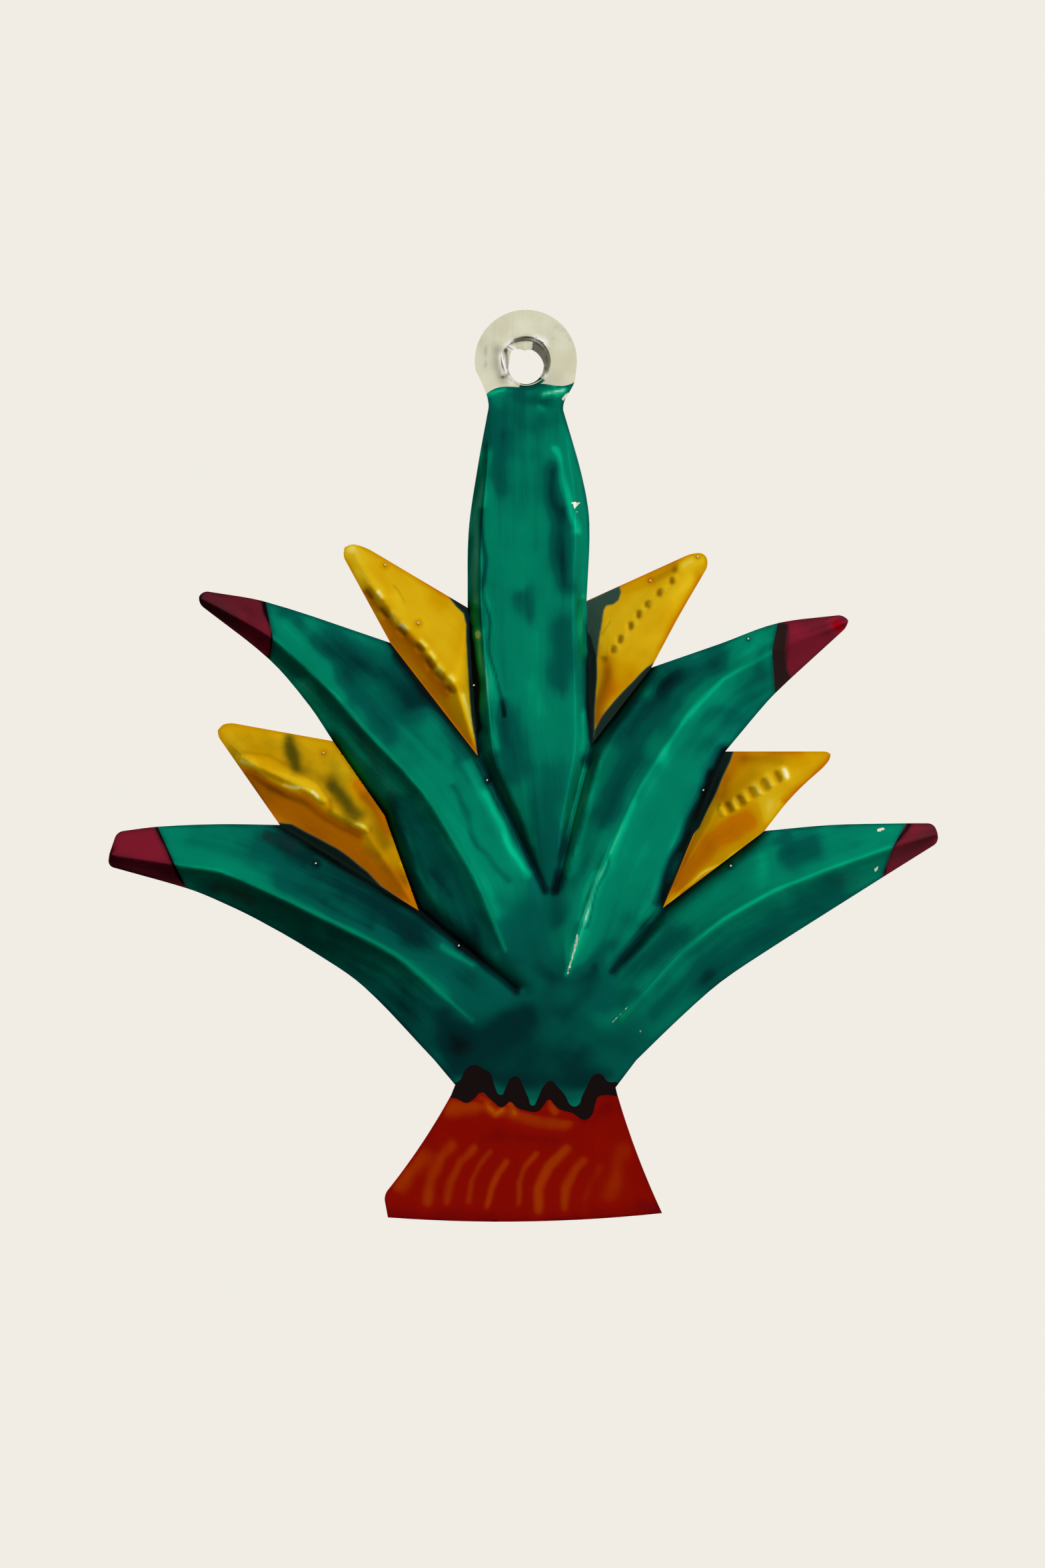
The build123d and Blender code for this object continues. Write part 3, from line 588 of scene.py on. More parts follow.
CRIMSON_STAINS: dict[Quarter, Strokes] = {
    Quarter.UPPER_LEFT: (Stroke(((-38.8, -27.4), (-35.6, -30.4)), 1.4, 0.45),),
    Quarter.UPPER_RIGHT: (Stroke(((30.6, -31.4), (29.9, -35.0), (30.2, -38.0)), 0.75, 0.30),),
    Quarter.LOWER_LEFT: (Stroke(((-49.6, -57.0), (-49.0, -57.2)), 0.6, 0.20),),
    Quarter.LOWER_RIGHT: (Stroke(((48.4, -55.6), (44.4, -59.0)), 1.9, 0.42),),
}
CRIMSON_OVERLAPS: dict[Quarter, tuple[OverlapPatch, ...]] = {
    Quarter.UPPER_LEFT: (),
    Quarter.UPPER_RIGHT: (
        OverlapPatch(
            (
                (30.2, -30.6), (29.2, -35.0), (29.6, -38.6), (30.4, -39.2), (32.2, -37.8), (31.4, -36.4),
                (31.1, -34.0), (31.6, -31.0),
            ),
            0.5,
        ),
    ),
    Quarter.LOWER_LEFT: (),
    Quarter.LOWER_RIGHT: (),
}
RED_STROKES: Strokes = (
    Stroke(((-11.8, -100.6), (-11.3, -97.5), (-10.3, -95.2), (-8.8, -93.6)), 0.85, -0.24),
    Stroke(((-9.4, -100.6), (-9.1, -98.0), (-8.0, -95.8), (-6.2, -94.0)), 0.65, -0.26),
    Stroke(((-6.8, -100.6), (-6.6, -98.0), (-5.5, -96.0), (-4.2, -94.6)), 0.50, -0.22),
    Stroke(((-4.6, -101.0), (-4.3, -98.8), (-3.4, -97.0), (-2.3, -95.7)), 0.50, -0.32),
    Stroke(((-1.0, -100.8), (-0.8, -98.2), (0.0, -96.2), (1.2, -94.6)), 0.45, -0.26),
    Stroke(((1.4, -101.6), (1.6, -99.0), (2.8, -96.2), (5.0, -94.0)), 0.75, -0.36),
    Stroke(((4.7, -101.2), (4.9, -98.8), (5.8, -96.6), (6.9, -95.4)), 0.70, -0.28),
    Stroke(((7.0, -101.4), (7.5, -98.5), (8.8, -96.2)), 0.70, -0.15),
    Stroke(((-9.0, -89.2), (-5.0, -88.6), (0.0, -90.2), (5.0, -91.2)), 1.3, -0.28),
    Stroke(((-4.6, -88.6), (-3.7, -90.0), (-2.7, -89.2)), 0.35, -0.40),
    Stroke(((2.8, -88.2), (3.6, -89.6)), 0.50, -0.30),
    Stroke(((-1.8, -88.6), (-1.2, -89.8)), 0.40, -0.35),
    Stroke(((-15.2, -98.4), (-12.4, -95.0)), 1.3, -0.25),
    Stroke(((10.0, -99.6), (12.0, -94.2)), 1.6, -0.20),
    Stroke(((-4.0, -92.6), (5.0, -92.9), (10.0, -89.0)), 1.0, 0.14),
    Stroke(((-16.0, -101.9), (0.0, -102.5), (16.0, -101.4)), 1.1, 0.14),
    Stroke(((-8.0, -87.8), (-3.0, -88.9), (1.0, -89.6), (7.0, -90.6)), 0.35, 0.18),
)
RED_STAINS: Strokes = (Stroke(((15.4, -101.2), (14.0, -100.6)), 1.2, 0.35),)


@dataclass(frozen=True)
class LineReading:
    """Where points lie along and beside a line, all in millimetres."""

    distance: np.ndarray
    along: np.ndarray
    side: np.ndarray


def read_line(points: np.ndarray, line: Line) -> LineReading:
    """Measures points against an open line.

    Args:
        points: Rows of x and z in millimetres.
        line: The line's corners.

    Returns:
        For each point its distance from the line, how far along the line it lies, and its signed side.
    """
    best = np.full(len(points), np.inf)
    along = np.zeros(len(points))
    side = np.zeros(len(points))
    travelled = 0.0
    for start, end in zip(line, line[1:]):
        first = np.array(start)
        run = np.array(end) - first
        length = float(np.hypot(*run))
        offset = points - first
        share = np.clip(offset @ run / length**2, 0.0, 1.0)
        gap = np.hypot(*(offset - share[:, None] * run).T)
        nearer = gap < best
        best[nearer] = gap[nearer]
        along[nearer] = travelled + share[nearer] * length
        turn = run[0] * offset[:, 1] - run[1] * offset[:, 0]
        side[nearer] = np.sign(turn[nearer]) * gap[nearer]
        travelled += length
    return LineReading(best, along, side)


def nearest_of(points: np.ndarray, lines: tuple[Line, ...]) -> np.ndarray:
    """Distances of points from the nearest of several lines.

    Args:
        points: Rows of x and z in millimetres.
        lines: The lines.

    Returns:
        One distance for each point, in millimetres.
    """
    return np.min([read_line(points, line).distance for line in lines], axis=0)


def soft_edge(distance: np.ndarray, width: float) -> np.ndarray:
    """A smooth bell of 1 on a line, gone a few widths away."""
    return np.exp(-((distance / width) ** 2))


def laid(points: np.ndarray, strokes: Strokes) -> np.ndarray:
    """Adds up what brush strokes leave at points.

    Args:
        points: Rows of x and z in millimetres.
        strokes: The strokes.

    Returns:
        One amount for each point.
    """
    total = np.zeros(len(points))
    for stroke in strokes:
        total += stroke.amount * soft_edge(read_line(points, stroke.line).distance, stroke.width)
    return total


def covered(points: np.ndarray, outline: Line, softness: float) -> np.ndarray:
    """How much of each point a patch covers, 1 inside its outline and 0 outside.

    Args:
        points: Rows of x and z in millimetres.
        outline: The patch's corners.
        softness: Half the width of its soft edge, in millimetres.

    Returns:
        One share for each point.
    """
    ring = (*outline, outline[0])
    inside = np.zeros(len(points), bool)
    x, z = points.T
    for (x0, z0), (x1, z1) in zip(ring, ring[1:]):
        if z0 != z1:
            crossed = (z0 > z) != (z1 > z)
            inside ^= crossed & (x < x0 + (z - z0) * (x1 - x0) / (z1 - z0))
    depth = np.where(inside, 1.0, -1.0) * read_line(points, ring).distance
    return np.clip(0.5 + 0.5 * depth / softness, 0.0, 1.0)


# Waves that a wandering point follows: turns in x and in z, where it starts, and its strength
WAVES_ACROSS: tuple[Wave, ...] = ((0.41, 0.83, 0.4, 1.0), (1.47, -0.92, 1.9, 0.5))
WAVES_ALONG: tuple[Wave, ...] = ((0.71, -0.52, 2.6, 1.0), (0.87, 1.58, 0.3, 0.5))


def wander(points: np.ndarray, reach: float) -> np.ndarray:
    """Moves points a little to and fro, so that what is laid along a line gets an uneven rim.

    Args:
        points: Rows of x and z in millimetres.
        reach: About how far a point moves, in millimetres.

    Returns:
        The moved points.
    """
    x, z = points.T
    moves = [
        sum(strength * np.sin(in_x * x + in_z * z + start) for in_x, in_z, start, strength in waves)
        for waves in (WAVES_ACROSS, WAVES_ALONG)
    ]
    return points + reach * np.stack(moves, axis=1)


class Bench:
    """Plain steps that every piece is made with."""

    @staticmethod
    def deselect() -> None:
        """Leaves nothing selected."""
        bpy.ops.object.select_all(action="DESELECT")

    @staticmethod
    def take(piece: Piece) -> None:
        """Selects one piece alone and makes it active.

        Args:
            piece: The piece.
        """
        Bench.deselect()
        piece.select_set(True)
        bpy.context.view_layer.objects.active = piece

    @staticmethod
    @contextmanager
    def editing(piece: Piece, picked: np.ndarray | None = None) -> Iterator[None]:
        """Goes into edit mode on one piece for some steps.

        Args:
            piece: The piece.
            picked: True for each vertex to select, or nothing to select them all.

        Yields:
            Nothing, while edit mode lasts.
        """
        Bench.take(piece)
        bpy.ops.object.mode_set(mode="EDIT")
        bpy.ops.mesh.select_all(action="SELECT" if picked is None else "DESELECT")
        if picked is not None:
            bpy.ops.object.mode_set(mode="OBJECT")
            piece.data.vertices.foreach_set("select", picked)
            bpy.ops.object.mode_set(mode="EDIT")
        yield
        bpy.ops.object.mode_set(mode="OBJECT")

    @staticmethod
    def corners(piece: Piece) -> np.ndarray:
        """Reads all vertices of a piece.

        Args:
            piece: The piece.

        Returns:
            Rows of x, y and z in metres.
        """
        flat = np.zeros(len(piece.data.vertices) * 3)
        piece.data.vertices.foreach_get("co", flat)
        return flat.reshape(-1, 3)

    @staticmethod
    def drawing(piece: Piece) -> np.ndarray:
        """All vertices of a piece as rows of x and z in millimetres."""
        return Bench.corners(piece)[:, [0, 2]] / MM

    @staticmethod
    def apply(piece: Piece, kind: str, **settings: object) -> None:
        """Adds one modifier to a piece and applies it.

        Args:
            piece: The piece.
            kind: The modifier's type.
            **settings: The modifier's values.
        """
        Bench.take(piece)
        modifier = piece.modifiers.new(kind.lower(), kind)
        for name, value in settings.items():
            setattr(modifier, name, value)
        bpy.ops.object.modifier_apply(modifier=modifier.name)

    @staticmethod
    def grid(low: Point, high: Point, level: float, cell: float) -> Piece:
        """Adds an upright grid that faces the viewer.

        Args:
            low: Lowest x and z in millimetres.
            high: Highest x and z in millimetres.
            level: The depth that it stands at, in millimetres.
            cell: About how wide a cell is, in millimetres.

        Returns:
            The grid, with its place in its mesh.
        """
        Bench.deselect()
        width, height = high[0] - low[0], high[1] - low[1]
        middle = ((low[0] + high[0]) / 2 * MM, level * MM, (low[1] + high[1]) / 2 * MM)
        bpy.ops.mesh.primitive_grid_add(
            x_subdivisions=round(width / cell),
            y_subdivisions=round(height / cell),
            size=1.0,
            location=middle,
            rotation=UPRIGHT,
        )
        grid = bpy.context.active_object
        grid.scale = (width * MM, height * MM, 1.0)
        bpy.ops.object.transform_apply(location=True, rotation=True, scale=True)
        return grid

    @staticmethod
    def curve(name: str, places: list[Place], dimensions: str = "3D", smoothness: int = 12) -> Piece:
        """Adds a smooth curve through places.

        Args:
            name: The curve's name.
            places: The places, in millimetres.
            dimensions: Whether it stays flat or runs in space.
            smoothness: How many steps it takes from one place to the next.

        Returns:
            The curve, selected alone.
        """
        curve = bpy.data.curves.new(name, "CURVE")
        curve.dimensions = dimensions
        curve.resolution_u = smoothness
        spline = curve.splines.new("BEZIER")
        spline.bezier_points.add(len(places) - 1)
        for corner, place in zip(spline.bezier_points, places):
            corner.co = [value * MM for value in place]
            corner.handle_left_type = "AUTO"
            corner.handle_right_type = "AUTO"
        piece = bpy.data.objects.new(name, curve)
        bpy.context.scene.collection.objects.link(piece)
        Bench.take(piece)
        return piece

    @staticmethod
    def copy_of(node: Piece, name: str) -> Piece:
        """A merged copy of a CAD node that may be changed.

        Args:
            node: The CAD node.
            name: The copy's name.

        Returns:
            The copy, free of the node's body.
        """
        copy = node.copy()
        copy.data = node.data.copy()
        copy.parent = None
        copy.name = name
        copy.data.materials.clear()
        for key in list(copy.keys()):
            del copy[key]
        bpy.context.scene.collection.objects.link(copy)
        copy.hide_viewport = False
        copy.hide_set(False)
        Bench.merge(copy)
        return copy

    @staticmethod
    def merge(piece: Piece) -> None:
        """Merges the vertices of a piece that lie in the same place."""
        with Bench.editing(piece):
            bpy.ops.mesh.remove_doubles(threshold=SAME_PLACE * MM)

    @staticmethod
    def delete_faces(piece: Piece, unwanted: Callable[[bmesh.types.BMFace], bool]) -> None:
        """Deletes some faces of a piece.

        Args:
            piece: The piece.
            unwanted: Says of a face whether it goes.
        """
        with Bench.editing(piece):
            bpy.ops.mesh.select_mode(type="FACE")
            bpy.ops.mesh.select_all(action="DESELECT")
            mesh = bmesh.from_edit_mesh(piece.data)
            for face in mesh.faces:
                face.select_set(unwanted(face))
            bmesh.update_edit_mesh(piece.data)
            bpy.ops.mesh.delete(type="FACE")
            bpy.ops.mesh.select_mode(type="VERT")

    @staticmethod
    def keep_front(piece: Piece, steepest: float = 0.2, deepest: float = CLEAR) -> None:
        """Deletes every face of a piece that doesn't look towards the viewer.

        Args:
            piece: The piece.
            steepest: How much of its normal a kept face turns to the viewer.
            deepest: How far back a kept face may lie, in millimetres.
        """

        def hidden(face: bmesh.types.BMFace) -> bool:
            """Whether a face turns away or lies too far back."""
            return face.normal.y > -steepest or face.calc_center_median().y > deepest * MM

        Bench.delete_faces(piece, hidden)

    @staticmethod
    def lay_on(piece: Piece, form: Piece) -> None:
        """Moves every vertex of a piece straight back until it lies on a form."""
        Bench.apply(
            piece,
            "SHRINKWRAP",
            target=form,
            wrap_method="PROJECT",
            use_project_y=True,
            use_positive_direction=True,
        )

    @staticmethod
    def flatten(piece: Piece, level: float, picked: np.ndarray | None = None) -> None:
        """Lays vertices of a piece flat at one level.

        Args:
            piece: The piece.
            level: The level, in millimetres.
            picked: True for each vertex that is laid flat, or nothing for all of them.
        """
        with Bench.editing(piece, picked):
            bpy.ops.transform.resize(value=(1.0, 0.0, 1.0), center_override=(0.0, level * MM, 0.0))

    @staticmethod
    def shift(piece: Piece, depth: float) -> None:
        """Moves all of a mesh away from the viewer by a depth in millimetres."""
        with Bench.editing(piece):
            bpy.ops.transform.translate(value=(0.0, depth * MM, 0.0))

    @staticmethod
    def thicken(piece: Piece, depth: float, facing: bool = False) -> None:
        """Closes an open sheet by extruding all of it away from the viewer.

        Args:
            piece: The sheet.
            depth: How thick it gets, in millimetres.
            facing: Whether every face of it looks towards the viewer. Extruding turns them all inward
                then, and they only have to be flipped.
        """
        with Bench.editing(piece):
            bpy.ops.mesh.extrude_region_move(TRANSFORM_OT_translate={"value": (0.0, depth * MM, 0.0)})
            bpy.ops.mesh.select_all(action="SELECT")
            if facing:
                bpy.ops.mesh.flip_normals()
            else:
                bpy.ops.mesh.normals_make_consistent(inside=False)

    @staticmethod
    def join(pieces: list[Piece]) -> None:
        """Joins pieces.

        Args:
            pieces: The pieces, which all end up in the first one.
        """
        Bench.take(pieces[0])
        for piece in pieces[1:]:
            piece.select_set(True)
        if len(pieces) > 1:
            bpy.ops.object.join()

    @staticmethod
    def bin(piece: Piece) -> None:
        """Removes a helper and its mesh.

        Args:
            piece: The helper.
        """
        mesh = piece.data
        bpy.data.objects.remove(piece)
        bpy.data.meshes.remove(mesh)


@dataclass(frozen=True)
class ChaseMarks:
    """Marks of one tool, each along a short line: pressed in, or raised where the depth is below zero."""

    lines: tuple[Line, ...]
    depth: float
    reach: float


CHASE_MARKS: tuple[ChaseMarks, ...] = (
    ChaseMarks((((0.2, -3.0), (0.2, -20.0), (0.6, -30.0), (0.9, -46.0)),), 0.45, 5.2),
    ChaseMarks((LOWER_LEFT_BEAD,), -0.32, 0.75),
    ChaseMarks((LOWER_LEFT_BEAD_END,), -0.22, 0.65),
    ChaseMarks(strikes(UPPER_RIGHT_DENTS, (0.05, 0.12)), 0.26, 0.50),
    ChaseMarks(strikes(UPPER_RIGHT_FAINT), 0.14, 0.50),
    ChaseMarks(strikes(UPPER_LEFT_NOTCHES, (0.12, -0.18)), 0.20, 0.60),
    ChaseMarks(strikes(UPPER_LEFT_SPURS, (0.12, -0.15)), -0.14, 0.55),
    ChaseMarks(strikes(LOWER_RIGHT_GAPS, (0.18, -0.40)), 0.26, 0.50),
    ChaseMarks(strikes(LOWER_RIGHT_FINGERS, (0.18, -0.40)), -0.12, 0.45),
)


@dataclass
class EmbossingDie:
    """The beaten relief that the sheet and its films are pressed on, with lengths in millimetres."""

    cell: float = 0.2
    margin: float = 1.5
    mouth_centre: float = MOUTH_CENTRE
    mouth_radius: float = 3.0
    missed_level: float = -0.9 * CLEAR
    soft_rounds: int = 150
    crisp_rounds: int = 4
    round_strength: float = 0.5
    crease_width: float = 0.8
    crease_steps: int = 10
    beat_height: float = 0.20
    beat_width: float = 5.0
    sink: float = 0.06
    marks: tuple[ChaseMarks, ...] = CHASE_MARKS

    def build(self, tin: Piece) -> Piece:
        """Lays a fine grid on the front of the tin sheet and works it like beaten metal.

        Args:
            tin: The CAD node of the tin sheet.

        Returns:
            The die, an open grid that is only a helper.
        """
        pattern = self._front_of(tin)
        low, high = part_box("tin_sheet")
        die = Bench.grid(
            (low.x / MM - self.margin, low.z / MM - self.margin),
            (high.x / MM + self.margin, high.z / MM + self.margin),
            -CLEAR,
            self.cell,
        )
        die.name = "embossing_die"
        Bench.lay_on(die, pattern)
        Bench.bin(pattern)
        missed_metal = Bench.corners(die)[:, 1] < self.missed_level * MM
        Bench.flatten(die, FRONT_LEVEL, missed_metal)
        self._soften(die)
        self._beat(die)
        self._chase(die)
        return die

    def _front_of(self, tin: Piece) -> Piece:
        """The front of the tin sheet without the lip around its hole.

        Args:
            tin: The CAD node of the tin sheet.

        Returns:
            An open helper mesh.
        """

        def in_mouth(face: bmesh.types.BMFace) -> bool:
            """Whether a face belongs to the lip."""
            place = face.calc_center_median() / MM
            return math.hypot(place.x, place.z - self.mouth_centre) < self.mouth_radius

        pattern = Bench.copy_of(tin, "emboss_pattern")
        Bench.keep_front(pattern)
        Bench.delete_faces(pattern, in_mouth)
        return pattern

    def _soften(self, die: Piece) -> None:
        """Rounds the panels between the creases a lot and the creases themselves a little.

        Args:
            die: The die.
        """
        chased = (SMALL_RIDGES[Quarter.UPPER_LEFT], SMALL_RIDGES[Quarter.LOWER_LEFT])
        lines = (*LEAF_RIDGES.values(), *SPIKE_CREASES, *chased, *GROOVES)
        freedom = 1.0 - soft_edge(nearest_of(Bench.drawing(die), lines), self.crease_width)
        steps = np.round(freedom * self.crease_steps).astype(int)
        group = die.vertex_groups.new(name="panels")
        for step in range(1, self.crease_steps + 1):
            group.add(np.flatnonzero(steps == step).tolist(), step / self.crease_steps, "REPLACE")
        in_depth = {"factor": self.round_strength, "use_x": False, "use_z": False}
        Bench.apply(die, "SMOOTH", iterations=self.soft_rounds, vertex_group=group.name, **in_depth)
        Bench.apply(die, "SMOOTH", iterations=self.crisp_rounds, **in_depth)
        Bench.shift(die, self.sink)

    def _beat(self, die: Piece) -> None:
        """Leaves the shallow uneven hollows of hand work.

        Args:
            die: The die.
        """
        hollows = bpy.data.textures.new("beaten_hollows", "CLOUDS")
        hollows.noise_scale = self.beat_width * MM
        hollows.noise_depth = 1
        Bench.apply(
            die,
            "DISPLACE",
            texture=hollows,
            texture_coords="LOCAL",
            direction="Y",
            strength=self.beat_height * MM,
            mid_level=0.5,
        )
        bpy.data.textures.remove(hollows)

    def _chase(self, die: Piece) -> None:
        """Works every mark of the chasing tools into the relief.

        Args:
            die: The die.
        """
        points = Bench.drawing(die)
        for tool in self.marks:
            with Bench.editing(die, nearest_of(points, tool.lines) < self.cell):
                bpy.ops.transform.translate(
                    value=(0.0, tool.depth * MM, 0.0),
                    use_proportional_edit=True,
                    proportional_edit_falloff="SMOOTH",
                    proportional_size=tool.reach * MM,
                )


@dataclass
class PressedSheet:
    """A fine sheet, cut to the outline of a CAD node and pressed on the die.

    Lengths are in millimetres and angles in degrees. The lift is how far its front lies before the die. The
    pull's blend and lift are how long the marks of the brush fade beside a line and at its end.
    """

    node: str
    name: str
    slot: Slot
    cell: float
    thickness: float
    lift: float = 0.0
    under: tuple[str, ...] = ()
    corner_match: float = 0.25
    corner_steps: int = 4
    straight_angle: float = 0.5
    smooth_angle: float = 50.0
    wall_slope: float = 0.2
    pull_blend: float = 2.0
    pull_lift: float = 6.0
    pull_offset: float = 100.0
    piece: Piece | None = field(default=None, init=False)

    def blank(self) -> Piece:
        """A closed block of fine cells in front of the die, a little larger than the piece.

        Returns:
            The block.
        """
        boxes = [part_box(name) for name in (self.node, *self.under)]
        around = 2 * self.cell
        sheet = Bench.grid(
            (min(low.x for low, _ in boxes) / MM - around, min(low.z for low, _ in boxes) / MM - around),
            (max(high.x for _, high in boxes) / MM + around, max(high.z for _, high in boxes) / MM + around),
            -CLEAR,
            self.cell,
        )
        sheet.name = self.name
        Bench.thicken(sheet, 2 * CLEAR)
        return sheet

    def cut_out(self, nodes: Nodes) -> Piece:
        """Cuts blocks of fine cells to the outlines of the piece's own node and of those it runs under.

        Args:
            nodes: The CAD nodes by name.

        Returns:
            Closed flat blocks in front of the die, joined to one mesh.
        """
        sheets = []
        for name in (self.node, *self.under):
            sheet = self.blank()
            cutter = self._soft_cutter(nodes[name]) or self._cutter(nodes[name])
            self.trim(sheet, cutter, Trim.INSIDE)
            sheets.append(sheet)
        Bench.join(sheets)
        return sheets[0]

    def _outline(self, node: Piece) -> Piece:
        """The front of a node, laid flat.

        Args:
            node: The CAD node.

        Returns:
            An open helper mesh.
        """
        flat = Bench.copy_of(node, f"{node.name}_outline")
        Bench.keep_front(flat)
        Bench.flatten(flat, -2 * CLEAR)
        return flat

    def _cutter(self, node: Piece) -> Piece:
        """A deep block with a node's outline and its sharp corners.

        Args:
            node: The CAD node.

        Returns:
            A closed helper mesh.
        """
        block = self._outline(node)
        Bench.thicken(block, 4 * CLEAR)
        return block

    def _soft_cutter(self, node: Piece) -> Piece | None:
        """A deep block with a node's outline, its corners as soft as shears leave them.

        Args:
            node: The CAD node.

        Returns:
            A closed helper mesh, or nothing where the outline has no soft corner.
        """
        block = self._outline(node)
        self._keep_rim(block)
        sharp = len(block.data.vertices)
        for radius, corners in SOFT_CORNERS.items():
            points = Bench.drawing(block)
            gaps = np.array([np.hypot(*(points - np.array(corner)).T) for corner in corners])
            with Bench.editing(block, gaps.min(axis=0) < self.corner_match):
                bpy.ops.mesh.bevel(offset=radius * MM, segments=self.corner_steps, affect="VERTICES")
        if len(block.data.vertices) == sharp:
            Bench.bin(block)
            return None
        with Bench.editing(block):
            bpy.ops.mesh.fill(use_beauty=True)
        Bench.thicken(block, 4 * CLEAR)
        return block

    def _keep_rim(self, flat: Piece) -> None:
        """Leaves only the wire around a flat outline.

        Args:
            flat: The outline.
        """
        with Bench.editing(flat):
            bpy.ops.mesh.region_to_loop()
            bpy.ops.mesh.select_mode(type="EDGE")
            bpy.ops.mesh.select_all(action="INVERT")
            bpy.ops.mesh.delete(type="EDGE_FACE")
            bpy.ops.mesh.select_all(action="SELECT")
            bpy.ops.mesh.delete(type="ONLY_FACE")
            bpy.ops.mesh.select_mode(type="VERT")
            bpy.ops.mesh.select_all(action="SELECT")
            bpy.ops.mesh.delete_loose(use_verts=True, use_edges=False, use_faces=False)
            bpy.ops.mesh.select_all(action="SELECT")
            bpy.ops.mesh.dissolve_limited(angle_limit=math.radians(self.straight_angle))

    def trim(self, sheet: Piece, cutter: Piece, keep: Trim) -> None:
        """Cuts a sheet with a block and removes the block.

        Args:
            sheet: The sheet to cut.
            cutter: The block.
            keep: Which side stays.
        """
        Bench.apply(sheet, "BOOLEAN", object=cutter, operation=keep.value, solver="MANIFOLD")
        Bench.bin(cutter)

    def press(self, sheet: Piece, die: Piece) -> None:
        """Presses the front of a sheet on the die and gives it its thickness.

        Args:
            sheet: The cut sheet.
            die: The embossing die.
        """
        Bench.keep_front(sheet, steepest=0.9, deepest=0.0)
        Bench.merge(sheet)
        Bench.lay_on(sheet, die)
        Bench.shift(sheet, -self.lift)
        Bench.thicken(sheet, self.thickness, facing=True)

    def build(self, nodes: Nodes, die: Piece) -> Piece:
        """Makes the piece and puts it in its node's place.

        Args:
            nodes: The CAD nodes by name.
            die: The embossing die.

        Returns:
            The finished mesh piece, still without a finish.
        """
        self.piece = self.cut_out(nodes)
        self.press(self.piece, die)
        self.add_details()
        Bench.take(self.piece)
        bpy.ops.object.shade_smooth_by_angle(angle=math.radians(self.smooth_angle))
        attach(self.piece, BODY)
        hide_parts(self.node)
        LOG.info("%s: %d faces", self.name, len(self.piece.data.polygons))
        return self.piece

    def add_details(self) -> None:
        """Nothing more on a plain sheet."""

    def coat_with(self, material: bpy.types.Material) -> None:
        """Gives the piece its finish."""
        self.piece.data.materials.clear()
        self.piece.data.materials.append(material)

    def paint(self, name: str, amount: np.ndarray) -> None:
        """Keeps an amount for each vertex under a name.

        Args:
            name: The attribute's name.
            amount: One value for each vertex.
        """
        layer = self.piece.data.attributes.new(name, "FLOAT", "POINT")
        layer.data.foreach_set("value", amount.astype(np.float32))

    def rim_distance(self) -> np.ndarray:
        """Measures how far each vertex lies from the cut edge of the sheet.

        Returns:
            One distance for each vertex, in millimetres.
        """
        mesh = self.piece.data
        upright = np.zeros(len(mesh.polygons) * 3)
        mesh.polygons.foreach_get("normal", upright)
        wall = np.flatnonzero(np.abs(upright.reshape(-1, 3)[:, 1]) < self.wall_slope)
        edge = {corner for face in wall for corner in mesh.polygons[face].vertices}
        tree = KDTree(len(edge))
        for corner in edge:
            place = mesh.vertices[corner].co
            tree.insert((place.x, 0.0, place.z), corner)
        tree.balance()
        return np.array([tree.find((x * MM, 0.0, z * MM))[2] / MM for x, z in Bench.drawing(self.piece)])

    def draw_pull(self, points: np.ndarray, lines: tuple[Line, ...]) -> None:
        """Maps the mesh along the pull of the brush, each face along the line that it is nearest to.

        The marks of the brush fade between two lines and where the brush lifts at the end of a line.

        Args:
            points: The mesh's vertices as rows of x and z in millimetres.
            lines: The lines that the brush followed.
        """
        mesh = self.piece.data
        readings = [read_line(points, line) for line in lines]
        gaps = np.array([reading.distance for reading in readings])
        ordered = np.sort([np.full(len(points), np.inf), *gaps], axis=0)
        between = np.clip((ordered[1] - ordered[0]) / self.pull_blend, 0.0, 1.0)
        ahead = np.array([reading.along.max() - reading.along for reading in readings])
        nearest = np.argmin(gaps, axis=0)
        lifted = np.clip(ahead[nearest, np.arange(len(points))] / self.pull_lift, 0.0, 1.0)
        self.paint("drawn", between * lifted)
        corner = np.zeros(len(mesh.loops), np.int32)
        mesh.loops.foreach_get("vertex_index", corner)
        sizes = np.zeros(len(mesh.polygons), np.int32)
        mesh.polygons.foreach_get("loop_total", sizes)
        first = corner[np.concatenate(([0], np.cumsum(sizes)[:-1]))]
        chosen = np.repeat(nearest[first], sizes)
        along = np.stack([reading.along for reading in readings])[chosen, corner]
        side = np.stack([reading.side for reading in readings])[chosen, corner]
        pull = np.stack([along + self.pull_offset * chosen, side], axis=1) / PULL_UNIT
        layer = mesh.uv_layers.new(name=PULL_MAP)
        layer.data.foreach_set("uv", pull.astype(np.float32).ravel())


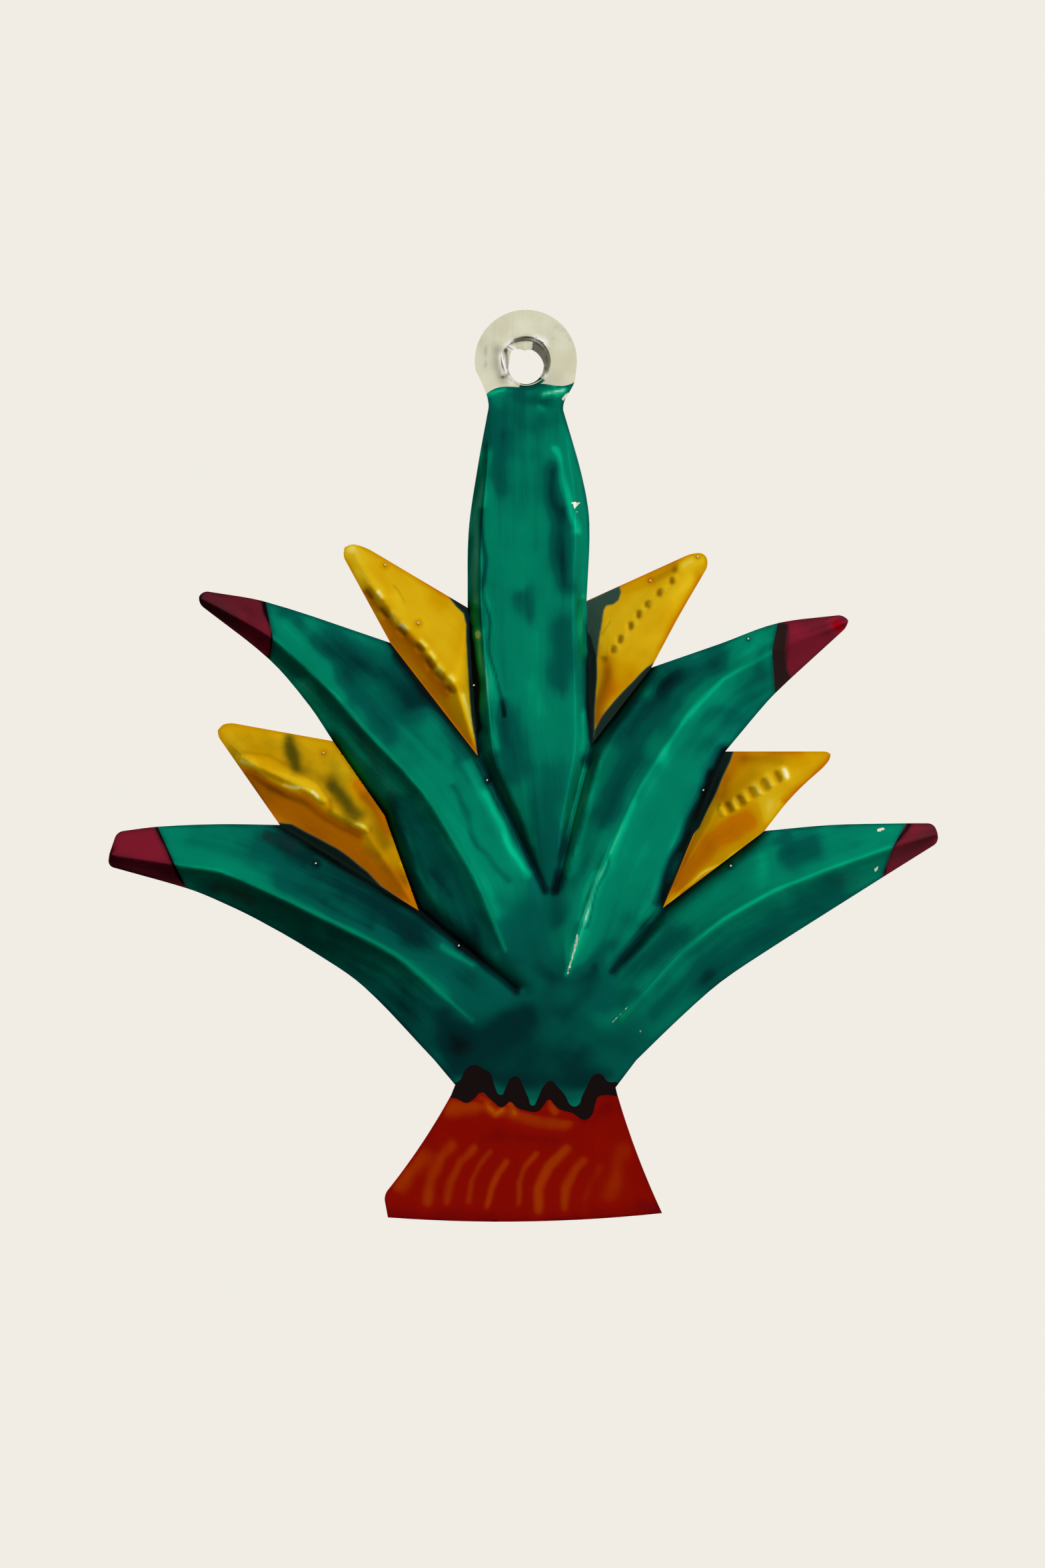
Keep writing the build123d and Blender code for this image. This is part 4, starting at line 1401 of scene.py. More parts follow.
class NodeBoard:
    """A node tree whose nodes are added and linked step by step."""

    def __init__(self, tree: bpy.types.NodeTree) -> None:
        """Starts with the nodes that a tree has.

        Args:
            tree: The tree.
        """
        self.tree = tree

    def add(
        self, kind: str, inputs: dict[str | int, object] | None = None, **settings: object
    ) -> bpy.types.Node:
        """Adds a node.

        Args:
            kind: The node's type.
            inputs: Values or other nodes' outputs for its sockets.
            **settings: Its own options.

        Returns:
            The new node.
        """
        node = self.tree.nodes.new(kind)
        for name, value in settings.items():
            setattr(node, name, value)
        for key, value in (inputs or {}).items():
            self.feed(node.inputs[key], value)
        return node

    def feed(self, socket: Socket, value: object) -> None:
        """Links an output to a socket, or sets the socket's own value.

        Args:
            socket: The socket.
            value: A value or another node's output.
        """
        if isinstance(value, Socket):
            self.tree.links.new(value, socket)
        else:
            socket.default_value = value

    def sum(
        self, first: object, second: object, operation: str = "ADD", clamped: bool = False
    ) -> Socket:
        """Works out one step of arithmetic.

        Args:
            first: A value or another node's output.
            second: A value or another node's output.
            operation: What is done with the two.
            clamped: Whether the result stays between 0 and 1.

        Returns:
            The result.
        """
        node = self.add("ShaderNodeMath", {0: first, 1: second}, operation=operation, use_clamp=clamped)
        return node.outputs[0]

    def times(self, first: object, second: object) -> Socket:
        """Multiplies two values."""
        return self.sum(first, second, "MULTIPLY")

    def dot(self, place: Socket, direction: Place) -> Socket:
        """How far a place lies along a direction."""
        node = self.add("ShaderNodeVectorMath", {0: place, 1: direction}, operation="DOT_PRODUCT")
        return node.outputs["Value"]

    def fit(
        self, value: object, ends: Point, levels: Point = (0.0, 1.0), smooth: bool = False
    ) -> Socket:
        """Runs from one level to another while a value goes from one end to the other.

        Args:
            value: The value.
            ends: Where the run starts and ends.
            levels: What it gives there.
            smooth: Whether it eases in and out.

        Returns:
            The level.
        """
        (start, end), (low, high) = ends, levels
        node = self.add(
            "ShaderNodeMapRange",
            {"Value": value, "From Min": start, "From Max": end, "To Min": low, "To Max": high},
            interpolation_type="SMOOTHSTEP" if smooth else "LINEAR",
        )
        return node.outputs[0]


@dataclass(frozen=True)
class Softbox:
    """A flat lamp that looks at the ornament, with its sizes in metres."""

    name: str
    place: Place
    size: Point
    radiance: float


@dataclass
class Studio:
    """Camera, pale backdrop and soft light, with lengths in millimetres.

    Ends say where the mirrored backdrop or the light of the room starts and stops changing, and levels how
    strong it is there.
    """

    middle: Point = (-0.4, -50.2)
    frame_height: float = 188.6
    distance: float = 1200.0
    sensor: float = 36.0
    nearest: float = 10.0
    backdrop_gap: float = 250.0
    backdrop_side: float = 4000.0
    cream: Colour = (0.879, 0.847, 0.783)
    mirror_slope: Place = (1.7, 1.1, 0.0)
    mirror_ends: Point = (-0.55, 0.15)
    mirror_levels: Point = (0.30, 1.0)
    room_colour: Colour = (1.0, 0.98, 0.94)
    key_direction: Place = (0.575, -0.732, 0.366)
    key_ends: Point = (-0.05, 0.78)
    key_levels: Point = (0.08, 0.95)
    behind_ends: Point = (-0.15, 0.25)
    behind_levels: Point = (0.45, 0.95)
    boxes: tuple[Softbox, ...] = (
        Softbox("softbox_right", (0.55, -0.48, -0.05), (0.16, 0.80), 0.8),
        Softbox("softbox_top", (0.05, -0.45, 0.50), (0.40, 0.14), 0.4),
        Softbox("softbox_left", (-0.55, -0.55, 0.02), (0.20, 0.60), 0.9),
    )

    def build(self) -> None:
        """Sets up everything around the ornament."""
        self._camera()
        self._backdrop()
        self._world()
        self._softboxes()
        bpy.context.scene.view_settings.view_transform = "Standard"

    def _camera(self) -> None:
        """A long lens straight in front of the ornament."""
        Bench.deselect()
        place = (self.middle[0] * MM, (FRONT_LEVEL - self.distance) * MM, self.middle[1] * MM)
        bpy.ops.object.camera_add(location=place, rotation=UPRIGHT)
        camera = bpy.context.active_object
        camera.data.sensor_width = self.sensor
        camera.data.lens = self.sensor * self.distance / self.frame_height
        camera.data.clip_start = self.nearest * MM
        bpy.context.scene.camera = camera

    def _backdrop(self) -> None:
        """A pale sheet behind the ornament that can't be seen from its back.

        The camera sees it plain. In the metal it is mirrored as a lit sheet, dimmer towards its lower left.
        """
        Bench.deselect()
        place = (0.0, self.backdrop_gap * MM, self.middle[1] * MM)
        bpy.ops.mesh.primitive_plane_add(size=self.backdrop_side * MM, location=place, rotation=UPRIGHT)
        sheet = bpy.context.active_object
        sheet.name = "backdrop"
        paper = bpy.data.materials.new("backdrop_paper")
        paper.use_nodes = True
        board = NodeBoard(paper.node_tree)
        board.tree.nodes.clear()
        cream = (*self.cream, 1.0)
        ray = board.add("ShaderNodeLightPath").outputs
        spot = board.add("ShaderNodeTexCoord").outputs["Object"]
        mirrored = board.fit(board.dot(spot, self.mirror_slope), self.mirror_ends, self.mirror_levels)
        strength = board.sum(mirrored, ray["Is Camera Ray"], "MAXIMUM")
        glow = board.add("ShaderNodeEmission", {"Color": cream, "Strength": strength})
        matte = board.add("ShaderNodeBsdfDiffuse", {"Color": cream})
        straight = board.sum(ray["Is Camera Ray"], ray["Is Glossy Ray"])
        seen = board.sum(straight, ray["Is Transmission Ray"], clamped=True)
        lit = board.add("ShaderNodeMixShader", {0: seen, 1: matte.outputs[0], 2: glow.outputs[0]})
        clear = board.add("ShaderNodeBsdfTransparent")
        away = board.add("ShaderNodeNewGeometry").outputs["Backfacing"]
        sided = board.add("ShaderNodeMixShader", {0: away, 1: lit.outputs[0], 2: clear.outputs[0]})
        board.add("ShaderNodeOutputMaterial", {"Surface": sided.outputs[0]})
        sheet.data.materials.append(paper)

    def _world(self) -> None:
        """Light that is strong from the upper right, plain from the front and weak from the lower left."""
        world = bpy.data.worlds.new("studio_room")
        bpy.context.scene.world = world
        world.use_nodes = True
        board = NodeBoard(world.node_tree)
        board.tree.nodes.clear()
        side = board.add("ShaderNodeTexCoord").outputs["Generated"]
        axes = board.add("ShaderNodeSeparateXYZ", {0: side}).outputs
        key = board.fit(board.dot(side, self.key_direction), self.key_ends, self.key_levels, smooth=True)
        behind = board.fit(axes["Y"], self.behind_ends, smooth=True)
        room = board.fit(axes["Z"], (-1.0, 1.0), self.behind_levels)
        level = board.add("ShaderNodeMix", {"Factor": behind, "A": key, "B": room}, data_type="FLOAT")
        light = board.add(
            "ShaderNodeBackground",
            {"Color": (*self.room_colour, 1.0), "Strength": level.outputs["Result"]},
        )
        board.add("ShaderNodeOutputWorld", {"Surface": light.outputs[0]})

    def _softboxes(self) -> None:
        """Soft light from the right, and a little from the top and the left."""
        for box in self.boxes:
            Bench.deselect()
            bpy.ops.object.light_add(type="AREA", location=box.place)
            lamp = bpy.context.active_object
            lamp.name = box.name
            lamp.data.shape = "RECTANGLE"
            lamp.data.size, lamp.data.size_y = box.size
            lamp.data.energy = box.radiance * math.pi * box.size[0] * box.size[1]
            aim = Vector((0.0, 0.0, self.middle[1] * MM)) - Vector(box.place)
            lamp.rotation_euler = aim.to_track_quat("-Z", "Y").to_euler()


class FinishTree(NodeBoard):
    """The nodes of one finish."""

    def __init__(self, name: str) -> None:
        """Starts with a plain shader.

        Args:
            name: The material's name.
        """
        self.material = bpy.data.materials.new(name)
        self.material.use_nodes = True
        super().__init__(self.material.node_tree)
        self.shader = self.tree.nodes["Principled BSDF"]
        self.place = self.add("ShaderNodeTexCoord").outputs["Object"]

    def finished(self, inputs: dict[str, object]) -> bpy.types.Material:
        """Feeds the shader.

        Args:
            inputs: Values or other nodes' outputs for its sockets.

        Returns:
            The finished material.
        """
        for name, value in inputs.items():
            self.feed(self.shader.inputs[name], value)
        return self.material

    def painted(self, name: str) -> Socket:
        """What was painted on the mesh under a name."""
        return self.add("ShaderNodeAttribute", attribute_name=name).outputs["Fac"]

    def noise(self, place: object, scale: float, layers: float, roughness: float) -> Socket:
        """Noise around zero.

        Args:
            place: Where it is read.
            scale: How many patches it has in one unit.
            layers: How many finer layers it has.
            roughness: How strong these are.

        Returns:
            Values from about -0.5 to 0.5.
        """
        noise = self.add(
            "ShaderNodeTexNoise",
            {"Vector": place, "Scale": scale, "Detail": layers, "Roughness": roughness},
        )
        return self.sum(noise.outputs["Fac"], 0.5, "SUBTRACT")

    def cloud(self, size: float, layers: float = PLAIN_LAYERS) -> Socket:
        """Soft noise around zero, in patches of a size in millimetres."""
        return self.noise(self.place, 1.0 / (size * MM), layers, roughness=0.5)

    def streaks(self, length: float, width: float, layers: float = FINE_LAYERS) -> Socket:
        """Noise around zero that is drawn out along the pull of the brush and fades with its marks.

        Args:
            length: How long a streak is, in millimetres.
            width: How wide it is, in millimetres.
            layers: How many finer layers it has.

        Returns:
            Values from about -0.5 to 0.5.
        """
        pull = self.add("ShaderNodeUVMap", uv_map=PULL_MAP).outputs["UV"]
        stretch = (PULL_UNIT / length, PULL_UNIT / width, 1.0)
        place = self.add("ShaderNodeMapping", {"Vector": pull, "Scale": stretch}).outputs[0]
        return self.times(self.noise(place, 1.0, layers, roughness=0.55), self.painted("drawn"))

    def ramp(self, value: object, stops: tuple[tuple[float, Colour], ...]) -> Socket:
        """Turns a value into a colour.

        Args:
            value: The value.
            stops: Places on the ramp with their colours.

        Returns:
            The colour.
        """
        node = self.add("ShaderNodeValToRGB", {"Fac": value})
        node.color_ramp.interpolation = "EASE"
        elements = node.color_ramp.elements
        while len(elements) < len(stops):
            elements.new(1.0)
        for element, (place, colour) in zip(elements, stops):
            element.position = place
            element.color = (*colour, 1.0)
        return node.outputs["Color"]

    def blend(self, share: object, under: object, over: object) -> Socket:
        """Lays one colour over another.

        Args:
            share: How much the upper one covers.
            under: The lower colour.
            over: The upper colour.

        Returns:
            The mixed colour.
        """
        node = self.add("ShaderNodeMix", data_type="RGBA", clamp_factor=True)
        self.feed(node.inputs["Factor"], share)
        for socket, value in ((node.inputs[6], under), (node.inputs[7], over)):
            self.feed(socket, (*value, 1.0) if isinstance(value, tuple) else value)
        return node.outputs[2]

    def bump(self, height: object, strength: float, distance: float) -> Socket:
        """Makes a surface uneven.

        Args:
            height: How high it stands.
            strength: How much of that shows.
            distance: How high the highest place stands, in millimetres.

        Returns:
            The uneven surface's normal.
        """
        node = self.add(
            "ShaderNodeBump", {"Height": height, "Strength": strength, "Distance": distance * MM}
        )
        return node.outputs[0]


@dataclass(frozen=True)
class LacquerFinish:
    """Translucent coloured lacquer over bright tin, with sizes in millimetres.

    The stops are its colours from the thinnest film to the thickest, and they also give painted highlight and
    painted shade. Depths and spreads say how much patches differ, and ends where something starts to show
    and where it covers.
    """

    name: str
    stops: tuple[tuple[float, Colour], ...]
    # Colour of stains and of painted shade and dark reflections
    stain_and_shade: Colour
    # Brown of lacquer pooled in dents and of painted shade in the notches
    dent: Colour = (0.150, 0.055, 0.000)
    overlap: Colour = (0.034, 0.078, 0.058)
    deep_overlap: Colour = (0.004, 0.010, 0.008)
    patch_size: float = 5.0
    patch_depth: float = 0.30
    streak_length: float = 16.0
    streak_width: float = 1.3
    streak_depth: float = 0.22
    mottle_size: float = 1.6
    mottle_depth: float = 0.35
    stain_ends: Point = (0.10, 1.0)
    chip_grain: float = 0.5
    chip_roughness: float = 0.6
    chip_ends: Point = (0.40, 0.55)
    gloss: float = 0.30
    gloss_spread: float = 0.16
    gloss_size: float = 2.4
    ripple: float = 0.35
    ripple_size: float = 1.1
    ripple_share: float = 0.5
    ripple_height: float = 0.12
    metal: float = 1.0
    coat: float = 0.02
    coat_roughness: float = 0.06

    def make(self) -> bpy.types.Material:
        """Builds the material.

        Returns:
            The material.
        """
        tree = FinishTree(self.name)
        streaks = tree.streaks(self.streak_length, self.streak_width)
        haze = tree.times(tree.cloud(self.gloss_size, FINE_LAYERS), self.gloss_spread)
        height = tree.sum(streaks, tree.times(tree.cloud(self.ripple_size), self.ripple_share))
        return tree.finished(
            {
                "Base Color": self._colour(tree, streaks),
                "Metallic": self.metal,
                "Specular IOR Level": 0.0,
                "Roughness": tree.sum(haze, self.gloss),
                "Coat Weight": self.coat,
                "Coat Roughness": self.coat_roughness,
                "Normal": tree.bump(height, self.ripple, self.ripple_height),
            }
        )

    def _colour(self, tree: FinishTree, streaks: Socket) -> Socket:
        """Lays stains, painted shade, dents, a neighbour's lacquer, chips and painted glints over the film's
        colour.

        Args:
            tree: The finish's nodes.
            streaks: The marks of the brush.

        Returns:
            The colour.
        """
        patches = tree.times(tree.cloud(self.patch_size), self.patch_depth)
        film = tree.sum(tree.sum(tree.painted("film"), patches), tree.times(streaks, self.streak_depth))
        mottle = tree.times(tree.cloud(self.mottle_size, FINE_LAYERS), self.mottle_depth)
        # The stain layer also holds painted dark reflections and shade
        stain_and_shade_share = tree.fit(tree.sum(tree.painted("stain_and_shade"), mottle), self.stain_ends, smooth=True)
        grain = tree.times(tree.cloud(self.chip_grain), self.chip_roughness)
        chip_and_glint_share = tree.fit(tree.sum(tree.painted("chip_and_glint"), grain), self.chip_ends, smooth=True)
        colour = tree.blend(stain_and_shade_share, tree.ramp(film, self.stops), self.stain_and_shade)
        colour = tree.blend(tree.painted("dent"), colour, self.dent)
        # The first half of an overlap's depth tints the film, and the second half hides it
        tint = tree.times(tree.painted("overlap"), 2.0)
        colour = tree.blend(tint, colour, self.overlap)
        colour = tree.blend(tree.sum(tint, 1.0, "SUBTRACT"), colour, self.deep_overlap)
        # Chips show the tin, and painted glints take its pale colour
        return tree.blend(chip_and_glint_share, colour, TIN_COLOUR)


@dataclass(frozen=True)
class BareTinFinish:
    """Bright tinplate with faint tarnish, drawing lines, scratches, painted shade and painted highlights,
    with sizes in millimetres.

    The seam is the colour of the tin below the films. Ends say where something starts to show and where it
    covers.
    """

    name: str = "bare_tinplate"
    bright: Colour = (0.78, 0.78, 0.62)
    tarnish: Colour = (0.68, 0.67, 0.50)
    # Dark of scratches and of painted shade around the lip and on the back
    scratch_and_shade: Colour = (0.090, 0.080, 0.065)
    # Near white of the curls: a painted highlight
    burr_highlight: Colour = (0.97, 0.96, 0.93)
    seam: Colour = (0.010, 0.020, 0.016)
    tarnish_size: float = 3.5
    tarnish_ends: Point = (-0.25, 0.25)
    line_length: float = 14.0
    line_width: float = 0.35
    line_ends: Point = (0.20, 0.30)
    line_depth: float = 0.25
    gloss: float = 0.30
    gloss_spread: float = 0.18
    gloss_size: float = 1.8
    ripple: float = 0.25
    ripple_size: float = 2.2
    ripple_height: float = 0.08

    def make(self) -> bpy.types.Material:
        """Builds the material.

        Returns:
            The material.
        """
        tree = FinishTree(self.name)
        lines = tree.streaks(self.line_length, self.line_width, PLAIN_LAYERS)
        scored = tree.times(tree.fit(lines, self.line_ends), self.line_depth)
        cloudy = tree.fit(tree.cloud(self.tarnish_size, FINE_LAYERS), self.tarnish_ends, smooth=True)
        colour = tree.blend(cloudy, self.bright, self.tarnish)
        colour = tree.blend(scored, colour, self.scratch_and_shade)
        colour = tree.blend(tree.painted("stain_and_shade"), colour, self.scratch_and_shade)
        colour = tree.blend(tree.painted("shine"), colour, self.burr_highlight)
        colour = tree.blend(tree.painted("seam"), colour, self.seam)
        haze = tree.times(tree.cloud(self.gloss_size, FINE_LAYERS), self.gloss_spread)
        height = tree.sum(lines, tree.cloud(self.ripple_size))
        return tree.finished(
            {
                "Base Color": colour,
                "Metallic": 1.0,
                "Roughness": tree.sum(haze, self.gloss),
                "Normal": tree.bump(height, self.ripple, self.ripple_height),
            }
        )


GREEN_FINISH = LacquerFinish(
    name="green_lacquer_over_tin",
    stops=(
        # Near white where the film is thinnest: a painted highlight
        (0.00, (0.420, 0.820, 0.640)),
        (0.07, (0.060, 0.540, 0.320)),
        (0.20, (0.000, 0.400, 0.215)),
        (0.42, (0.000, 0.215, 0.125)),
        (0.66, (0.000, 0.090, 0.070)),
        (0.86, (0.000, 0.026, 0.026)),
        (1.00, (0.002, 0.007, 0.007)),
    ),
    # Reddish black of the painted dark reflections
    stain_and_shade=(0.028, 0.016, 0.014),
    patch_depth=0.22,
)
YELLOW_FINISH = LacquerFinish(
    name="yellow_lacquer_over_tin",
    stops=(
        # Near white where the film is thinnest: a painted highlight
        (0.00, (0.980, 0.900, 0.580)),
        (0.10, (0.950, 0.740, 0.110)),
        (0.24, (0.840, 0.540, 0.008)),
        (0.42, (0.720, 0.370, 0.000)),
        (0.66, (0.640, 0.190, 0.000)),
        (1.00, (0.200, 0.050, 0.000)),
    ),
    # Olive of the painted dark reflections and the stains
    stain_and_shade=(0.095, 0.075, 0.002),
    patch_depth=0.20,
    streak_depth=0.10,
    metal=0.3,
)
CRIMSON_FINISH = LacquerFinish(
    name="crimson_lacquer_over_tin",
    stops=(
        (0.00, (0.340, 0.000, 0.004)),
        (0.35, (0.210, 0.010, 0.026)),
        (0.60, (0.120, 0.010, 0.020)),
        (1.00, (0.006, 0.002, 0.003)),
    ),
    stain_and_shade=(0.055, 0.022, 0.024),
    overlap=(0.022, 0.010, 0.010),
    deep_overlap=(0.004, 0.002, 0.002),
    patch_depth=0.16,
    streak_depth=0.10,
    gloss=0.26,
)
RED_FINISH = LacquerFinish(
    name="red_lacquer_over_tin",
    stops=(
        (0.00, (0.420, 0.075, 0.000)),
        (0.25, (0.330, 0.030, 0.000)),
        (0.55, (0.240, 0.003, 0.000)),
        (1.00, (0.120, 0.000, 0.002)),
    ),
    stain_and_shade=(0.060, 0.000, 0.010),
    patch_depth=0.24,
    streak_depth=0.12,
)
DARK_FINISH = LacquerFinish(
    name="dark_lacquer_over_tin",
    stops=((0.0, (0.012, 0.006, 0.005)), (0.5, (0.006, 0.002, 0.002)), (1.0, (0.002, 0.001, 0.001))),
    stain_and_shade=(0.002, 0.001, 0.001),
    gloss=0.22,
    coat=0.08,
)


@dataclass(frozen=True)
class Petal:
    """One flap of the lip that tore when the hole was punched.

    Its rolled edge and its inner end run from a start to an end angle around the hole, in degrees. The
    reaches are how far its inner end stays from the hole's centre at the start, the middle and the end.
    The lead is the share of it that still lies flat on the sheet.
    """

    start: float
    end: float
    reaches: tuple[float, float, float]
    roll: float
    slope: float
    lead: float = 0.0


@dataclass(frozen=True)
class Curl:
    """A curl of metal on the edge of a tear, along a line in the drawing, made bright by a painted highlight.
    """

    line: Line
    width: float


@dataclass
class TornLip:
    """The lip around the hanging hole, folded to the back in torn flaps, with lengths in millimetres.

    The roll share is the part of a flap that is rolled, before it runs straight on.
    """

    mouth_radius: float = 2.98
    mouth_centre: float = MOUTH_CENTRE
    front: float = FRONT_LEVEL
    metal: float = 0.2
    cells_across: int = 40
    cells_inward: int = 10
    roll_share: float = 0.3
    curl_rise: float = 0.02
    curl_end: float = 0.45
    curl_steps: int = 3
    petals: tuple[Petal, ...] = (
        Petal(67.0, 124.0, (2.15, 1.95, 2.42), 0.55, 0.16),
        Petal(-16.0, 70.0, (2.18, 2.12, 2.18), 0.40, 0.48),
        Petal(121.0, 147.0, (2.50, 2.52, 2.70), 0.22, 0.12),
        Petal(138.0, 202.0, (2.62, 2.10, 2.12), 0.45, 0.45),
        Petal(199.0, 246.0, (2.15, 2.08, 2.08), 0.35, 0.30),
        Petal(240.0, 347.0, (2.08, 2.08, 2.14), 0.45, 0.40),
    )
    curls: tuple[Curl, ...] = (
        Curl(((0.98, 3.28), (1.35, 3.36), (1.80, 3.18), (2.22, 2.88)), 0.46),
        Curl(((-2.92, 1.28), (-2.82, 0.75), (-2.66, 0.10), (-2.48, -0.62)), 0.36),
        Curl(((-2.20, 2.52), (-1.88, 2.36), (-1.48, 2.04)), 0.34),
        Curl(((-1.92, 2.98), (-1.62, 3.14)), 0.20),
        Curl(((2.34, -0.86), (2.30, -1.22)), 0.26),
        Curl(((-1.92, -1.18), (-1.60, -1.76)), 0.30),
    )

    def build(self) -> list[Piece]:
        """Makes every flap and every curl.

        Returns:
            Closed pieces.
        """
        return [self._flap(petal) for petal in self.petals] + [self._curl(curl) for curl in self.curls]

    def _flap(self, petal: Petal) -> Piece:
        """Bends one flap from a flat grid.

        Args:
            petal: The flap.

        Returns:
            The closed flap.
        """
        Bench.deselect()
        bpy.ops.mesh.primitive_grid_add(
            x_subdivisions=self.cells_across, y_subdivisions=self.cells_inward, size=2.0
        )
        flap = bpy.context.active_object
        flat = Bench.corners(flap)
        share = (flat[:, 0] + 1.0) / 2
        inward = (flat[:, 1] + 1.0) / 2
        turn = np.radians(petal.start + share * (petal.end - petal.start))
        rim_x = self.mouth_radius * np.cos(turn)
        rim_z = self.mouth_centre + self.mouth_radius * np.sin(turn)
        rim_turn = np.arctan2(rim_z, rim_x)
        reach = np.interp(share, (0.0, 0.5, 1.0), petal.reaches)
        end_x, end_z = reach * np.cos(rim_turn), reach * np.sin(rim_turn)
        bent_share = np.clip((inward - petal.lead) / (1.0 - petal.lead), 0.0, 1.0)
        rolled = np.clip(bent_share / self.roll_share, 0.0, 1.0)
        straight = np.clip((bent_share - self.roll_share) / (1.0 - self.roll_share), 0.0, 1.0)
        depth = petal.roll * (1.0 - np.cos(rolled * math.pi / 2)) + petal.slope * straight
        across_x, across_z = rim_x + inward * (end_x - rim_x), rim_z + inward * (end_z - rim_z)
        bent = np.stack([across_x, self.front + depth, across_z], axis=1)
        flap.data.vertices.foreach_set("co", (bent * MM).ravel())
        flap.data.update()
        Bench.thicken(flap, self.metal)
        return flap

    def _curl(self, curl: Curl) -> Piece:
        """Draws one curl as a short round wire with thin ends.

        Args:
            curl: The curl.

        Returns:
            The closed curl.
        """
        piece = Bench.curve("curl", [(x, self.front - self.curl_rise, z) for x, z in curl.line])
        piece.data.bevel_depth = curl.width / 2 * MM
        piece.data.bevel_resolution = self.curl_steps
        piece.data.use_fill_caps = True
        corners = piece.data.splines[0].bezier_points
        for end in (corners[0], corners[-1]):
            end.radius = self.curl_end
        bpy.ops.object.convert(target="MESH")
        return piece


@dataclass
class LacquerFilm(PressedSheet):
    """A brushed film of lacquer, with lengths in millimetres.

    A film value says how much lacquer lies in a place, and the width beside it how far that spreads. Where
    it stands for light, a lower value is a painted highlight and a higher one painted shade. Unevenness is
    how far the rims of what is painted wander. A glint is a painted highlight on the top of a bubble.
    """

    strokes: Strokes = ()
    stains_and_shade: Strokes = ()
    dents_and_shade: Strokes = ()
    chips_and_glints: Strokes = ()
    overlaps: tuple[OverlapPatch, ...] = ()
    bubbles: Line = ()
    flaps: tuple[Petal, ...] = ()
    flap_mouth: float = 3.25
    pulls: tuple[Line, ...] = (SPIKE_AXIS,)
    body_film: float = 0.42
    pool_film: float = 0.0
    pool_width: float = 0.55
    # Below zero, a painted highlight along the leaf ridges
    ridge_highlight: float = 0.0
    ridge_width: float = 0.28
    rim_film: float = 0.15
    rim_width: float = 0.3
    unevenness: float = 0.2
    dent_unevenness: float = 0.08
    overlap_unevenness: float = 0.05
    overlap_edge: float = 0.10
    bubble_radius: float = 0.26
    bubble_height: float = 0.6
    bubble_steps: int = 3
    glint_shift: Point = (-0.06, 0.08)
    glint_width: float = 0.10
    glint_reach: Point = (0.02, 0.02)

    def add_details(self) -> None:
        """Sets the bubbles on the film and lays it over flaps of the torn lip."""
        for x, z in self.bubbles:
            self._bubble(x, z)
        lip = TornLip(
            mouth_radius=self.flap_mouth, front=FRONT_LEVEL - COAT, metal=COAT, petals=self.flaps, curls=()
        )
        Bench.join([self.piece, *lip.build()])

    def _bubble(self, x: float, z: float) -> None:
        """Adds one bubble that dried in the film.

        Args:
            x: Its place across, in millimetres.
            z: Its place up, in millimetres.
        """
        start = Vector((x * MM, -CLEAR * MM, z * MM))
        found, place, _, _ = self.piece.ray_cast(start, Vector((0.0, 1.0, 0.0)))
        if not found:
            return
        Bench.deselect()
        bpy.ops.mesh.primitive_ico_sphere_add(
            subdivisions=self.bubble_steps, radius=self.bubble_radius * MM, location=place
        )
        bubble = bpy.context.active_object
        with Bench.editing(bubble):
            bpy.ops.transform.resize(value=(1.0, self.bubble_height, 1.0), center_override=place)
        bpy.ops.object.transform_apply(location=True, rotation=True, scale=True)
        Bench.join([self.piece, bubble])

    def dress(self, material: bpy.types.Material) -> None:
        """Paints everything that the brush and the years left on the film, with painted highlight, shade and
        glints, and gives it its finish.

        Args:
            material: The finish.
        """
        points = Bench.drawing(self.piece)
        brushed = wander(points, self.unevenness)
        ridges = tuple(LEAF_RIDGES.values())
        # Lacquer thickness, also painted highlight where strokes thin it and painted shade where they thicken
        # it
        film = self.body_film + laid(brushed, self.strokes)
        film += self.rim_film * soft_edge(self.rim_distance(), self.rim_width)
        film += self.pool_film * soft_edge(nearest_of(points, GROOVES), self.pool_width)
        # Painted highlight along the ridges
        film += self.ridge_highlight * soft_edge(nearest_of(points, ridges), self.ridge_width)
        self.paint("film", film)
        # Stains, with painted dark reflections and shade
        self.paint("stain_and_shade", laid(brushed, self.stains_and_shade))
        # Pooled lacquer and painted shade in the dents
        self.paint("dent", laid(wander(points, self.dent_unevenness), self.dents_and_shade))
        overlap = np.zeros(len(points))
        for patch in self.overlaps:
            share = covered(wander(points, self.overlap_unevenness), patch.outline, self.overlap_edge)
            overlap = np.maximum(overlap, patch.depth * share)
        self.paint("overlap", overlap)
        # Painted glints on the tops of the bubbles, laid with the chips
        shift_x, shift_z = self.glint_shift
        tops = tuple((x + shift_x, z + shift_z) for x, z in self.bubbles)
        glints = dabs(tops, self.glint_width, 1.0, self.glint_reach)
        self.paint("chip_and_glint", laid(points, (*self.chips_and_glints, *glints)))
        self.draw_pull(points, self.pulls)
        self.coat_with(material)


